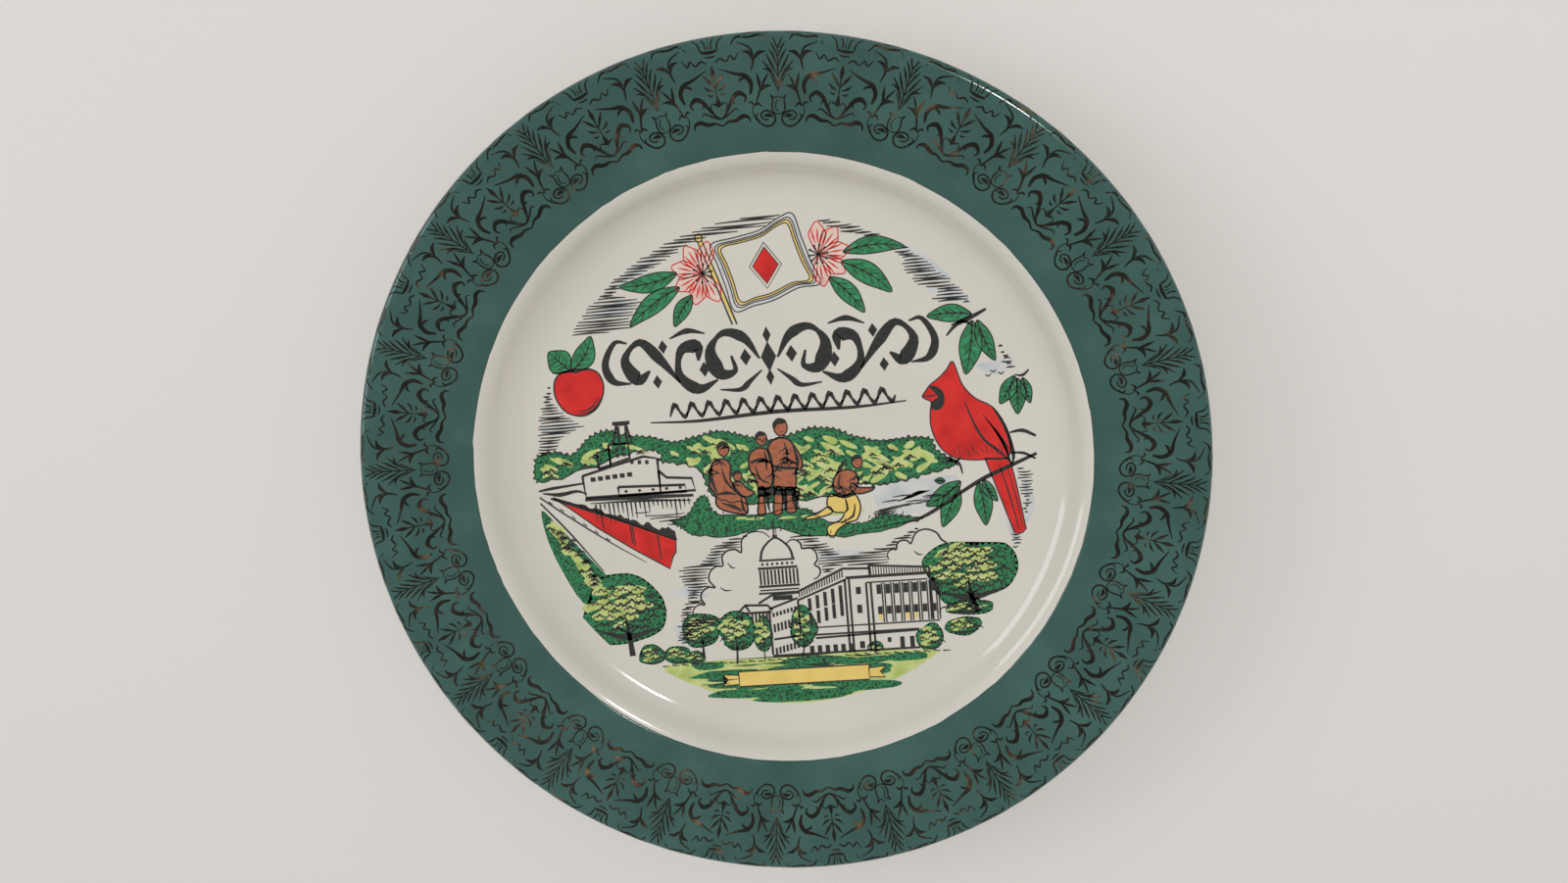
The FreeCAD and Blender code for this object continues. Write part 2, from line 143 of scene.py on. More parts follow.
floor_level = foot_height + thickness
floor_corner = floor_radius + hollow_radius * tangent(wall_slope / 2)
shoulder_corner = floor_corner + well_depth / tangent(wall_slope)
shoulder_level = floor_level + well_depth
shoulder_turn = wall_slope - rim_slope
band_radius = shoulder_corner + shoulder_radius * tangent(shoulder_turn / 2) * cosine(rim_slope)
plate_radius = band_radius + rim_width
edge_radius = plate_radius - thickness / 2
foot_radius = floor_radius - foot_inset


def rim_level(radius):
    return shoulder_level + (radius - shoulder_corner) * tangent(rim_slope)


edge_level = rim_level(edge_radius) - thickness / 2 / cosine(rim_slope)


def moved_out(corners, shifts):
    """Corners of an open outline after each side moves outwards, to the right of its run."""
    sides = []
    for i, shift in enumerate(shifts):
        start, end = Vector(corners[i]), Vector(corners[i + 1])
        along = (end - start).normalized()
        outward = Vector((along.y, -along.x)) * shift
        sides.append((start + outward, along, end + outward))
    moved = [sides[0][0]]
    for (_, into, turn_start), (next_start, out, _) in zip(sides, sides[1:]):
        cross = into.x * out.y - into.y * out.x
        gap = next_start - turn_start
        moved.append(turn_start + into * ((gap.x * out.y - gap.y * out.x) / cross))
    moved.append(sides[-1][2])
    return moved


def rounded(corners, radii, run_step=2.5, turn_step=4.0):
    """Points along straight sides joined by arcs of the given radii."""
    points = [Vector(corners[0])]

    def go_to(end):
        start = points[-1]
        count = max(1, round((end - start).length / run_step))
        for i in range(1, count + 1):
            points.append(start.lerp(end, i / count))

    for i in range(1, len(corners) - 1):
        here = Vector(corners[i])
        into = (here - Vector(corners[i - 1])).normalized()
        out = (Vector(corners[i + 1]) - here).normalized()
        turn = into.angle_signed(out)
        if radii[i] <= 0 or abs(turn) < 1e-4:
            go_to(here)
            continue
        reach = radii[i] * math.tan(abs(turn) / 2)
        go_to(here - into * reach)
        sideways = Vector((into.y, -into.x)) if turn > 0 else Vector((-into.y, into.x))
        centre = here - into * reach + sideways * radii[i]
        spoke = here - into * reach - centre
        count = max(2, round(math.degrees(abs(turn)) / turn_step))
        for step in range(1, count + 1):
            angle = -turn * step / count
            points.append(centre + Vector((
                spoke.x * math.cos(angle) - spoke.y * math.sin(angle),
                spoke.x * math.sin(angle) + spoke.y * math.cos(angle))))
    go_to(Vector(corners[-1]))
    return points


def round_edge(shift, end_angle, turn_step=6.0):
    """Points round the plate's edge, from the rim's upper face down to an angle under level."""
    reach = thickness / 2 + shift
    start_angle = 90 + rim_slope
    count = round((start_angle - end_angle) / turn_step)
    points = []
    for i in range(count + 1):
        angle = start_angle + (end_angle - start_angle) * i / count
        points.append(Vector((edge_radius + reach * cosine(angle), edge_level + reach * sine(angle))))
    return points


def under_outline(shift):
    """Under the base: from the axis to the inside of the foot's land."""
    corners = [(0, foot_height), (foot_radius - foot_width / 2, foot_height),
               (foot_radius - foot_land / 2, 0), (foot_radius + foot_land / 2, 0)]
    moved = moved_out(corners, [shift, shift, 0])
    return rounded(moved[:3], [0, foot_fillet - shift, 0])


def face_outline(shift):
    """From the outside of the foot's land, round the edge and over the face to the axis."""
    middle_slope = (wall_slope + rim_slope) / 2
    through = thickness / cosine(shoulder_turn / 2)
    under_edge = (edge_radius + thickness / 2 * sine(rim_slope),
                  edge_level - thickness / 2 * cosine(rim_slope))
    low = [
        (foot_radius - foot_land / 2, 0),
        (foot_radius + foot_land / 2, 0),
        (foot_radius + foot_width / 2, foot_height),
        (floor_corner + thickness * tangent(wall_slope / 2), foot_height),
        (shoulder_corner + through * sine(middle_slope), shoulder_level - through * cosine(middle_slope)),
        under_edge,
    ]
    low_radii = [0, foot_fillet - shift, hollow_radius + thickness + shift,
                 shoulder_radius - thickness - shift, 0]
    moved = moved_out(low, [0, shift, shift, shift, shift])[1:]
    points = rounded(moved, low_radii)[:-1]
    points += round_edge(shift, rim_slope - 90)[::-1]
    top = [(edge_radius - thickness / 2 * sine(rim_slope), edge_level + thickness / 2 * cosine(rim_slope)),
           (shoulder_corner, shoulder_level), (floor_corner, floor_level), (0, floor_level)]
    moved = moved_out(top, [shift] * 3)
    points += rounded(moved, [0, shoulder_radius + shift, hollow_radius - shift, 0])[1:]
    return points


def fresh_material(name, colour, roughness):
    """Glossy fired material, with the slow ripple that all the ware's surface has."""
    material = bpy.data.materials.new(name)
    material.use_nodes = True
    nodes = material.node_tree.nodes
    links = material.node_tree.links
    shader = nodes["Principled BSDF"]
    shader.inputs["Base Color"].default_value = (*colour, 1)
    shader.inputs["Roughness"].default_value = roughness
    shader.inputs["IOR"].default_value = 1.5
    place = nodes.new("ShaderNodeTexCoord")
    ripple = nodes.new("ShaderNodeTexNoise")
    ripple.inputs["Scale"].default_value = 45.0
    ripple.inputs["Detail"].default_value = 1.5
    bump = nodes.new("ShaderNodeBump")
    bump.inputs["Strength"].default_value = 0.35
    bump.inputs["Distance"].default_value = 0.00035
    links.new(place.outputs["Object"], ripple.inputs["Vector"])
    links.new(ripple.outputs["Fac"], bump.inputs["Height"])
    links.new(bump.outputs["Normal"], shader.inputs["Normal"])
    return material


def mottled(material, scale, colours, detail=3.0, low=0.35, high=0.65):
    """Colour that drifts between tones over the surface."""
    nodes = material.node_tree.nodes
    links = material.node_tree.links
    place = nodes.new("ShaderNodeTexCoord")
    cloud = nodes.new("ShaderNodeTexNoise")
    cloud.inputs["Scale"].default_value = scale
    cloud.inputs["Detail"].default_value = detail
    tones = nodes.new("ShaderNodeValToRGB")
    tones.color_ramp.elements[0].position = low
    tones.color_ramp.elements[0].color = (*colours[0], 1)
    tones.color_ramp.elements[1].position = high
    tones.color_ramp.elements[1].color = (*colours[-1], 1)
    for i, colour in enumerate(colours[1:-1], 1):
        stop = tones.color_ramp.elements.new(low + (high - low) * i / (len(colours) - 1))
        stop.color = (*colour, 1)
    links.new(place.outputs["Object"], cloud.inputs["Vector"])
    links.new(cloud.outputs["Fac"], tones.inputs["Fac"])
    links.new(tones.outputs["Color"], nodes["Principled BSDF"].inputs["Base Color"])


def calculator(tree):
    """A function that adds one step of arithmetic to a tree and gives its result's socket."""
    def calculate(operation, first, second):
        step = tree.nodes.new("ShaderNodeMath")
        step.operation = operation
        for socket, value in zip(step.inputs, (first, second)):
            if isinstance(value, (int, float)):
                socket.default_value = value
            else:
                tree.links.new(value, socket)
        return step.outputs[0]

    return calculate


def turning_tree():
    """Geometry Nodes: a section turned about the plate's axis, as a jigger turns clay.

    Each point of the section carries "ragged": how far that ring wavers in and out, in metres.
    """
    tree = bpy.data.node_groups.new("turned_section", "GeometryNodeTree")
    face = tree.interface
    face.new_socket("Section", in_out="INPUT", socket_type="NodeSocketGeometry")
    face.new_socket("Points Round", in_out="INPUT", socket_type="NodeSocketInt")
    face.new_socket("Waver Scale", in_out="INPUT", socket_type="NodeSocketFloat")
    face.new_socket("Finish", in_out="INPUT", socket_type="NodeSocketMaterial")
    face.new_socket("Ware", in_out="OUTPUT", socket_type="NodeSocketGeometry")
    nodes = tree.nodes
    links = tree.links
    calculate = calculator(tree)
    entry = nodes.new("NodeGroupInput")
    leave = nodes.new("NodeGroupOutput")
    size = nodes.new("GeometryNodeAttributeDomainSize")
    grid = nodes.new("GeometryNodeMeshGrid")
    grid.inputs["Size X"].default_value = 1.0
    grid.inputs["Size Y"].default_value = 1.0
    links.new(entry.outputs["Section"], size.inputs["Geometry"])
    links.new(size.outputs["Point Count"], grid.inputs["Vertices X"])
    round_count = nodes.new("ShaderNodeMath")
    round_count.inputs[1].default_value = 1
    links.new(entry.outputs["Points Round"], round_count.inputs[0])
    links.new(round_count.outputs[0], grid.inputs["Vertices Y"])

    place = nodes.new("GeometryNodeInputPosition")
    parts = nodes.new("ShaderNodeSeparateXYZ")
    links.new(place.outputs[0], parts.inputs[0])
    last = calculate("SUBTRACT", size.outputs["Point Count"], 1)
    index = calculate("ROUND", calculate("MULTIPLY", calculate("ADD", parts.outputs["X"], 0.5), last), 0)
    angle = calculate("MULTIPLY", calculate("ADD", parts.outputs["Y"], 0.5), 2 * math.pi)
    section_place = nodes.new("GeometryNodeSampleIndex")
    section_place.data_type = "FLOAT_VECTOR"
    links.new(entry.outputs["Section"], section_place.inputs["Geometry"])
    links.new(place.outputs[0], section_place.inputs["Value"])
    links.new(index, section_place.inputs["Index"])
    ragged = nodes.new("GeometryNodeInputNamedAttribute")
    ragged.data_type = "FLOAT"
    ragged.inputs["Name"].default_value = "ragged"
    ragged_here = nodes.new("GeometryNodeSampleIndex")
    ragged_here.data_type = "FLOAT"
    links.new(entry.outputs["Section"], ragged_here.inputs["Geometry"])
    links.new(ragged.outputs["Attribute"], ragged_here.inputs["Value"])
    links.new(index, ragged_here.inputs["Index"])
    profile = nodes.new("ShaderNodeSeparateXYZ")
    links.new(section_place.outputs["Value"], profile.inputs[0])
    turn = nodes.new("ShaderNodeCombineXYZ")
    links.new(calculate("COSINE", angle, 0), turn.inputs["X"])
    links.new(calculate("SINE", angle, 0), turn.inputs["Y"])
    waver = nodes.new("ShaderNodeTexNoise")
    waver.inputs["Detail"].default_value = 3.0
    links.new(turn.outputs[0], waver.inputs["Vector"])
    links.new(entry.outputs["Waver Scale"], waver.inputs["Scale"])
    shift = calculate("MULTIPLY", calculate("SUBTRACT", waver.outputs["Fac"], 0.5),
                      ragged_here.outputs["Value"])
    radius = calculate("ADD", profile.outputs["X"], shift)
    height = nodes.new("ShaderNodeCombineXYZ")
    links.new(calculate("MULTIPLY", calculate("COSINE", angle, 0), radius), height.inputs["X"])
    links.new(calculate("MULTIPLY", calculate("SINE", angle, 0), radius), height.inputs["Y"])
    links.new(profile.outputs["Z"], height.inputs["Z"])
    move = nodes.new("GeometryNodeSetPosition")
    links.new(grid.outputs["Mesh"], move.inputs["Geometry"])
    links.new(height.outputs[0], move.inputs["Position"])
    close = nodes.new("GeometryNodeMergeByDistance")
    close.inputs["Distance"].default_value = 2e-6
    smooth = nodes.new("GeometryNodeSetShadeSmooth")
    real = nodes.new("GeometryNodeRealizeInstances")
    finish = nodes.new("GeometryNodeSetMaterial")
    links.new(move.outputs["Geometry"], close.inputs["Geometry"])
    links.new(close.outputs["Geometry"], smooth.inputs["Geometry"])
    links.new(smooth.outputs["Geometry"], real.inputs["Geometry"])
    links.new(real.outputs["Geometry"], finish.inputs["Geometry"])
    links.new(entry.outputs["Finish"], finish.inputs["Material"])
    links.new(finish.outputs["Geometry"], leave.inputs["Ware"])
    return tree


def set_inputs(modifier, values):
    """Give a tree's named inputs their values."""
    for item in modifier.node_group.interface.items_tree:
        if item.item_type == "SOCKET" and item.in_out == "INPUT" and item.name in values:
            modifier[item.identifier] = values[item.name]


def baked(name, source, material):
    """The evaluated object as a plain mesh object, with its tree taken off and the source removed."""
    depsgraph = bpy.context.evaluated_depsgraph_get()
    mesh = bpy.data.meshes.new_from_object(source.evaluated_get(depsgraph))
    mesh.name = name
    source.modifiers.clear()
    old = source.data
    bpy.data.objects.remove(source)
    bpy.data.meshes.remove(old)
    piece = bpy.data.objects.new(name, mesh)
    bpy.context.collection.objects.link(piece)
    if not mesh.materials:
        mesh.materials.append(material)
    return piece


turned_section = turning_tree()


def turned_coat(name, outline, material, ragged=None, round_points=256, waver_scale=14.0):
    """Closed coat turned from a closed outline of (radius, height) points in millimetres."""
    outline = outline + [outline[0]]
    mesh = bpy.data.meshes.new(name + "_section")
    mesh.from_pydata([(max(p.x, 0) * MM, 0, p.y * MM) for p in outline], [], [])
    waver = mesh.attributes.new("ragged", "FLOAT", "POINT")
    amounts = ragged + [ragged[0]] if ragged else [0.0] * len(outline)
    waver.data.foreach_set("value", amounts)
    source = bpy.data.objects.new(name + "_section", mesh)
    bpy.context.collection.objects.link(source)
    modifier = source.modifiers.new("turn", "NODES")
    modifier.node_group = turned_section
    set_inputs(modifier, {"Points Round": round_points, "Waver Scale": waver_scale, "Finish": material})
    piece = baked(name, source, material)
    solid = bmesh.new()
    solid.from_mesh(piece.data)
    bmesh.ops.dissolve_degenerate(solid, dist=1e-7, edges=solid.edges)
    bmesh.ops.recalc_face_normals(solid, faces=solid.faces)
    for face in solid.faces:
        face.smooth = True
    solid.to_mesh(piece.data)
    solid.free()
    return piece


# Biscuit: the fired earthenware under the glaze. It shows only on the ground land of the foot
# ring, where the glaze was wiped off, as a dry warm buff with fine grit.
biscuit = bpy.data.materials.new("biscuit")
biscuit.use_nodes = True
biscuit_nodes = biscuit.node_tree.nodes
biscuit_nodes["Principled BSDF"].inputs["Roughness"].default_value = 0.85
mottled(biscuit, 900.0, [(0.46, 0.39, 0.30), (0.62, 0.55, 0.45), (0.70, 0.64, 0.55)], 6.0)
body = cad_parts["plate_body"]
body.data.materials.clear()
body.data.materials.append(biscuit)

# Ivory glaze: the plate was dipped, so one even glassy coat runs from the foot ring round the
# edge and over the face, and a second one lies on the base inside the foot ring.
ivory = fresh_material("ivory_glaze", (0.65, 0.62, 0.56), 0.09)
mottled(ivory, 22.0, [(0.61, 0.58, 0.52), (0.63, 0.60, 0.54), (0.65, 0.62, 0.56)], 4.0, 0.3, 0.7)
face_glaze = turned_coat("face_glaze_coat", face_outline(0) + face_outline(-glaze_thickness)[::-1], ivory)
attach(face_glaze, "root")
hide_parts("face_glaze")
base_glaze = turned_coat("base_glaze_coat", under_outline(0) + under_outline(-glaze_thickness)[::-1], ivory)
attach(base_glaze, "root")
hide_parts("base_glaze")

# Green enamel: a band sprayed over the glaze from the shoulder out and round the edge. It thins
# out and wavers a little at its inner side, where the stencil lay.
enamel_film = 0.05
enamel_sink = -0.02
enamel_wrap = -50
band_ragged = 0.00025
green = fresh_material("green_enamel", (0.028, 0.090, 0.079), 0.12)
mottled(green, 60.0, [(0.021, 0.075, 0.064), (0.028, 0.090, 0.079), (0.037, 0.108, 0.094)], 5.0, 0.3, 0.7)


def band_outline(low, high, inner_radius, wrap):
    """Closed outline of a film on the rim, thin at its inner side."""
    up = Vector((-sine(rim_slope), cosine(rim_slope)))
    outline = []
    for height in (high, low):
        start = Vector((inner_radius, rim_level(inner_radius))) + up * (height if height == low else 0)
        edge = round_edge(height, wrap)
        shoulder = Vector((inner_radius + 0.5, rim_level(inner_radius + 0.5))) + up * height
        line = rounded([start, shoulder, edge[0]], [0, 0, 0])[:-1] + edge
        outline += line if height == high else line[::-1]
    return outline


band = band_outline(enamel_sink, enamel_film, band_radius, enamel_wrap)
band_waver = [band_ragged if point.x < band_radius + 0.6 else 0.0 for point in band]
rim_band = turned_coat("rim_enamel_band", band, green, band_waver)
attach(rim_band, "root")
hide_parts("rim_enamel")

# Gold lace: a gold print laid over the enamel in a few curved strips and fired on. Its colour is
# painted: the near-black tones are painted dark reflection, and the copper patches are painted glints. A
# tulip between two scrolls and a basket over crossed leaves repeat twenty times round the rim. Places
# are given as degrees from the tulip's middle and millimetres out from the band's inner side.
gold_film = 0.03
gold_sink = 0.01
lace_repeats = 20
first_tulip = 12.6
strip_slip = 0.4
lace_weight = 0.72


def curve_place(p0, p1, p2, p3, t):
    """Place at a share of the way from p1 to p2 on the Catmull-Rom curve through four points."""
    return 0.5 * (2 * p1 + (p2 - p0) * t + (2 * p0 - 5 * p1 + 4 * p2 - p3) * t ** 2
                  + (3 * p1 - p0 - 3 * p2 + p3) * t ** 3)


def smooth_line(points, steps):
    """Points along a Catmull-Rom curve through the given ones."""
    ends = [2 * points[0] - points[1]] + list(points) + [2 * points[-1] - points[-2]]
    line = []
    for i in range(1, len(ends) - 2):
        p0, p1, p2, p3 = ends[i - 1:i + 3]
        for step in range(steps):
            line.append(curve_place(p0, p1, p2, p3, step / steps))
    return line + [points[-1].copy()]


def pen_sides(line, widths):
    """The two sides of a pen stroke along a line, as wide as asked at even shares of its length."""
    left = []
    right = []
    for i, here in enumerate(line):
        along = (line[min(i + 1, len(line) - 1)] - line[max(i - 1, 0)]).normalized()
        across = Vector((-along.y, along.x))
        share = i / (len(line) - 1) * (len(widths) - 1)
        step = min(int(share), len(widths) - 2)
        half = (widths[step] + (widths[step + 1] - widths[step]) * (share - step)) / 2
        left.append(here + across * half)
        right.append(here - across * half)
    return left, right


def on_rim(place, lift):
    """Point over a place on the rim's upper face, or on the round edge, in metres."""
    radius = place.length
    edge_start = edge_radius - thickness / 2 * sine(rim_slope)
    if radius < edge_start:
        level = rim_level(radius) + lift / cosine(rim_slope)
    else:
        reach = thickness / 2 + lift
        level = edge_level + math.sqrt(max(reach ** 2 - (radius - edge_radius) ** 2, 0))
    return Vector((place.x, place.y, level)) * MM


def add_film(solid, left, right, lay, low, high):
    """Closed thin strip between two sides, between two heights over the surface it lies on."""
    corners = []
    for a, b in zip(left, right):
        corners.append([solid.verts.new(lay(a, high)), solid.verts.new(lay(b, high)),
                        solid.verts.new(lay(b, low)), solid.verts.new(lay(a, low))])
    for here, after in zip(corners, corners[1:]):
        for i in range(4):
            j = (i + 1) % 4
            solid.faces.new((here[i], here[j], after[j], after[i]))
    solid.faces.new(corners[0][::-1])
    solid.faces.new(corners[-1])


def lace_place(degrees, out):
    radius = band_radius + out
    return Vector((radius * cosine(degrees), radius * sine(degrees)))


lace_lines = [
    # the tulip and its stem of paired leaves, on the middle line
    ([(0, 11.0), (0.5, 11.9), (0.32, 13.5), (0, 14.1)], [0.3, 0.5, 0.3]),
    ([(0, 16.2), (0, 22.0), (0, 31.6)], [0.5, 0.6, 0.4]),
]
tulip_pairs = [
    ([(0, 10.2), (0.75, 10.7), (1.0, 12.4), (0.85, 14.0), (1.15, 15.4)], [0.4, 0.7, 0.5]),
    ([(1.1, 15.3), (0.5, 14.5), (0.05, 15.1)], [0.4, 0.5, 0.3]),
    ([(3.8, 13.0), (4.0, 11.0), (3.3, 8.6), (2.1, 7.1), (0.95, 7.5), (0.5, 9.2), (1.1, 10.8), (2.1, 11.2),
      (2.8, 10.2), (2.3, 8.9), (1.6, 8.9)], [0.3, 0.7, 0.8, 0.7, 0.5]),
    ([(0.9, 9.5), (1.5, 10.0), (2.3, 9.9)], [0.3, 1.7, 0.5]),
    ([(3.2, 10.8), (3.6, 9.6), (3.0, 8.6)], [0.2, 0.9, 0.2]),
    ([(0.1, 16.8), (0.6, 19.0), (1.15, 20.8)], [0.3, 0.7, 0.2]),
    ([(0.1, 18.2), (1.0, 21.6), (2.1, 24.2)], [0.3, 1.0, 0.3]),
    ([(0.5, 20.3), (1.4, 21.9), (2.1, 22.2)], [0.3, 0.9, 0.3]),
    ([(0.1, 20.4), (0.9, 23.4), (1.5, 25.8)], [0.3, 1.0, 0.3]),
    ([(0.1, 22.8), (0.6, 25.4), (1.15, 27.2)], [0.3, 0.9, 0.3]),
    ([(0.1, 25.2), (0.5, 27.4), (0.95, 28.9)], [0.3, 0.8, 0.3]),
    ([(0.1, 27.4), (0.4, 29.2), (0.7, 30.4)], [0.3, 0.7, 0.3]),
    ([(3.55, 12.4), (3.0, 15.0), (2.45, 17.8)], [0.5, 0.8, 1.0]),
    ([(2.6, 16.8), (2.75, 19.0), (2.95, 21.2)], [0.7, 1.3, 0.3]),
    ([(2.5, 17.2), (1.95, 19.2), (1.35, 21.0)], [0.6, 1.0, 0.3]),
    ([(2.6, 16.4), (1.9, 17.6), (1.0, 17.8)], [0.6, 1.4, 0.3]),
    ([(3.5, 12.6), (4.1, 13.7), (4.5, 13.4)], [0.4, 0.9, 0.3]),
    ([(3.5, 12.8), (3.0, 13.2), (2.5, 12.2)], [0.4, 1.0, 0.3]),
    ([(1.5, 29.4), (2.1, 31.0), (3.4, 30.3)], [0.4, 1.1, 0.3]),
]
basket_lines = [
    ([(0, 13.2), (0, 14.5), (0, 16.4)], [0.4, 2.0, 0.4]),
    ([(-0.9, 14.5), (0, 13.8), (0.9, 14.5)], [0.5, 0.9, 0.5]),
    ([(0, 16.4), (0, 19.0), (0, 20.4)], [0.4, 0.6, 0.5]),
    ([(0, 20.2), (0, 22.2), (0, 24.2)], [0.4, 1.8, 0.3]),
    ([(-1.1, 27.9), (0, 27.6), (1.1, 27.9)], [0.8, 1.3, 0.8]),
    ([(-0.7, 26.6), (0, 26.4), (0.7, 26.6)], [0.4, 0.7, 0.4]),
    ([(0, 28.4), (0, 31.2)], [0.5, 0.4]),
]
basket_pairs = [
    ([(4.5, 8.4), (4.3, 9.7), (3.4, 10.2), (2.2, 9.2), (1.1, 9.2), (0, 8.3), (-0.8, 8.8)],
     [0.5, 1.0, 1.7, 1.5, 0.9, 0.5, 0.3]),
    ([(3.9, 13.8), (4.15, 15.2), (3.2, 16.4), (2.2, 15.2), (1.5, 13.0), (0.8, 11.2), (0, 10.2),
      (-1.2, 11.0),
      (-2.4, 12.3), (-2.9, 11.6)], [0.5, 1.0, 1.9, 1.6, 1.1, 0.8, 0.7, 0.7, 0.6, 0.3]),
    ([(2.6, 16.0), (2.2, 14.4), (2.5, 13.6)], [0.3, 0.9, 0.2]),
    ([(0.9, 12.0), (1.3, 13.4), (1.0, 14.6)], [0.3, 0.6, 0.3]),
    ([(4.9, 15.8), (5.15, 18.4), (4.4, 20.6), (2.9, 21.5), (0.9, 23.2)], [0.9, 1.7, 1.8, 1.0, 0.3]),
    ([(4.5, 20.2), (3.7, 19.8), (3.3, 19.0)], [0.5, 1.1, 0.3]),
    ([(0.1, 18.6), (0.8, 20.4), (1.4, 22.0)], [0.4, 1.2, 0.3]),
    ([(0.3, 17.6), (1.1, 18.2), (1.6, 19.2)], [0.3, 1.0, 0.3]),
    ([(0.5, 16.7), (0.9, 16.5), (1.3, 17.0)], [0.3, 0.8, 0.3]),
    ([(5.3, 21.9), (5.6, 23.6), (5.7, 25.2)], [0.4, 0.8, 1.0]),
    ([(5.7, 24.6), (6.5, 26.3), (7.4, 26.6)], [0.6, 1.5, 0.3]),
    ([(5.6, 24.8), (5.2, 26.5), (4.3, 26.9)], [0.6, 1.6, 0.3]),
    ([(5.8, 25.4), (5.3, 27.8), (3.7, 29.4)], [0.5, 0.8, 0.3]),
    ([(3.8, 26.8), (3.2, 25.0), (2.7, 26.2), (2.1, 24.8), (1.3, 25.7), (0.6, 24.9)],
     [0.3, 0.8, 0.5, 0.8, 0.5]),
    ([(1.1, 28.2), (1.3, 30.0), (2.1, 31.6)], [0.7, 0.7, 0.3]),
    ([(0.4, 28.4), (0.45, 30.0), (0.8, 31.2)], [0.5, 0.7, 0.3]),
    ([(2.9, 28.8), (3.8, 30.8), (5.2, 30.4), (6.3, 31.2)], [0.4, 1.0, 0.9, 0.3]),
    ([(4.6, 31.5), (6.2, 32.0), (7.8, 31.5)], [0.3, 0.7, 0.3]),
]
for side in (-1, 1):
    for line, widths in tulip_pairs:
        lace_lines.append(([(side * across, out) for across, out in line], widths))
    for line, widths in basket_pairs:
        lace_lines.append(([(9 + side * across, out) for across, out in line], widths))
for line, widths in basket_lines:
    lace_lines.append(([(9 + across, out) for across, out in line], widths))

gold = bpy.data.materials.new("bright_gold")
gold.use_nodes = True
gold_nodes = gold.node_tree.nodes
gold_links = gold.node_tree.links
gold_shader = gold_nodes["Principled BSDF"]
gold_shader.inputs["Metallic"].default_value = 0.85
# painted reflection: the near-black tones stand in for the dark room mirrored in the gold, and the copper
# tone for painted glints
mottled(gold, 160.0, [(0.018, 0.017, 0.014), (0.040, 0.034, 0.026), (0.26, 0.15, 0.07)], 4.0, 0.45, 0.76)
gold_grain = gold_nodes.new("ShaderNodeTexNoise")
gold_grain.inputs["Scale"].default_value = 2500.0
gold_place = gold_nodes.new("ShaderNodeTexCoord")
gold_bump = gold_nodes.new("ShaderNodeBump")
gold_bump.inputs["Strength"].default_value = 0.5
gold_bump.inputs["Distance"].default_value = 0.00005
gold_links.new(gold_place.outputs["Object"], gold_grain.inputs["Vector"])
gold_links.new(gold_grain.outputs["Fac"], gold_bump.inputs["Height"])
gold_links.new(gold_bump.outputs["Normal"], gold_shader.inputs["Normal"])
gold_shader.inputs["Roughness"].default_value = 0.28

lace_solid = bmesh.new()
for line, widths in lace_lines:
    flat = smooth_line([lace_place(across, out) for across, out in line], 3)
    left, right = pen_sides(flat, [lace_weight * width for width in widths])
    add_film(lace_solid, left, right, on_rim, enamel_film - gold_sink, enamel_film + gold_film)
bmesh.ops.recalc_face_normals(lace_solid, faces=lace_solid.faces)
lace_mesh = bpy.data.meshes.new("lace_repeat")
lace_solid.to_mesh(lace_mesh)
lace_solid.free()
lace_source = bpy.data.objects.new("lace_repeat", lace_mesh)
bpy.context.collection.objects.link(lace_source)


def repeating_tree():
    """Geometry Nodes: one repeat turned round the axis, laid in strips that slip a little."""
    tree = bpy.data.node_groups.new("lace_round_rim", "GeometryNodeTree")
    face = tree.interface
    face.new_socket("Repeat", in_out="INPUT", socket_type="NodeSocketGeometry")
    face.new_socket("Repeats", in_out="INPUT", socket_type="NodeSocketInt")
    face.new_socket("First Angle", in_out="INPUT", socket_type="NodeSocketFloat")
    face.new_socket("Strip Slip", in_out="INPUT", socket_type="NodeSocketFloat")
    face.new_socket("Repeats In Strip", in_out="INPUT", socket_type="NodeSocketInt")
    face.new_socket("Seed", in_out="INPUT", socket_type="NodeSocketInt")
    face.new_socket("Finish", in_out="INPUT", socket_type="NodeSocketMaterial")
    face.new_socket("Lace", in_out="OUTPUT", socket_type="NodeSocketGeometry")
    nodes = tree.nodes
    links = tree.links
    calculate = calculator(tree)
    entry = nodes.new("NodeGroupInput")
    leave = nodes.new("NodeGroupOutput")
    spots = nodes.new("GeometryNodePoints")
    links.new(entry.outputs["Repeats"], spots.inputs["Count"])
    index = nodes.new("GeometryNodeInputIndex")

    strip = calculate("FLOOR", calculate("DIVIDE", index.outputs[0], entry.outputs["Repeats In Strip"]), 0)
    slip = nodes.new("FunctionNodeRandomValue")
    slip.data_type = "FLOAT"
    links.new(calculate("MULTIPLY", entry.outputs["Strip Slip"], -1), slip.inputs[2])
    links.new(entry.outputs["Strip Slip"], slip.inputs[3])
    links.new(strip, slip.inputs["ID"])
    links.new(entry.outputs["Seed"], slip.inputs["Seed"])
    pitch = calculate("DIVIDE", 360, entry.outputs["Repeats"])
    angle = calculate("ADD", calculate("MULTIPLY", index.outputs[0], pitch), entry.outputs["First Angle"])
    angle = calculate("RADIANS", calculate("ADD", angle, slip.outputs[1]), 0)
    turn = nodes.new("ShaderNodeCombineXYZ")
    links.new(angle, turn.inputs["Z"])
    spread = nodes.new("GeometryNodeInstanceOnPoints")
    links.new(spots.outputs[0], spread.inputs["Points"])
    links.new(entry.outputs["Repeat"], spread.inputs["Instance"])
    links.new(turn.outputs[0], spread.inputs["Rotation"])
    real = nodes.new("GeometryNodeRealizeInstances")
    finish = nodes.new("GeometryNodeSetMaterial")
    links.new(spread.outputs["Instances"], real.inputs["Geometry"])
    links.new(real.outputs["Geometry"], finish.inputs["Geometry"])
    links.new(entry.outputs["Finish"], finish.inputs["Material"])
    links.new(finish.outputs["Geometry"], leave.inputs["Lace"])
    return tree


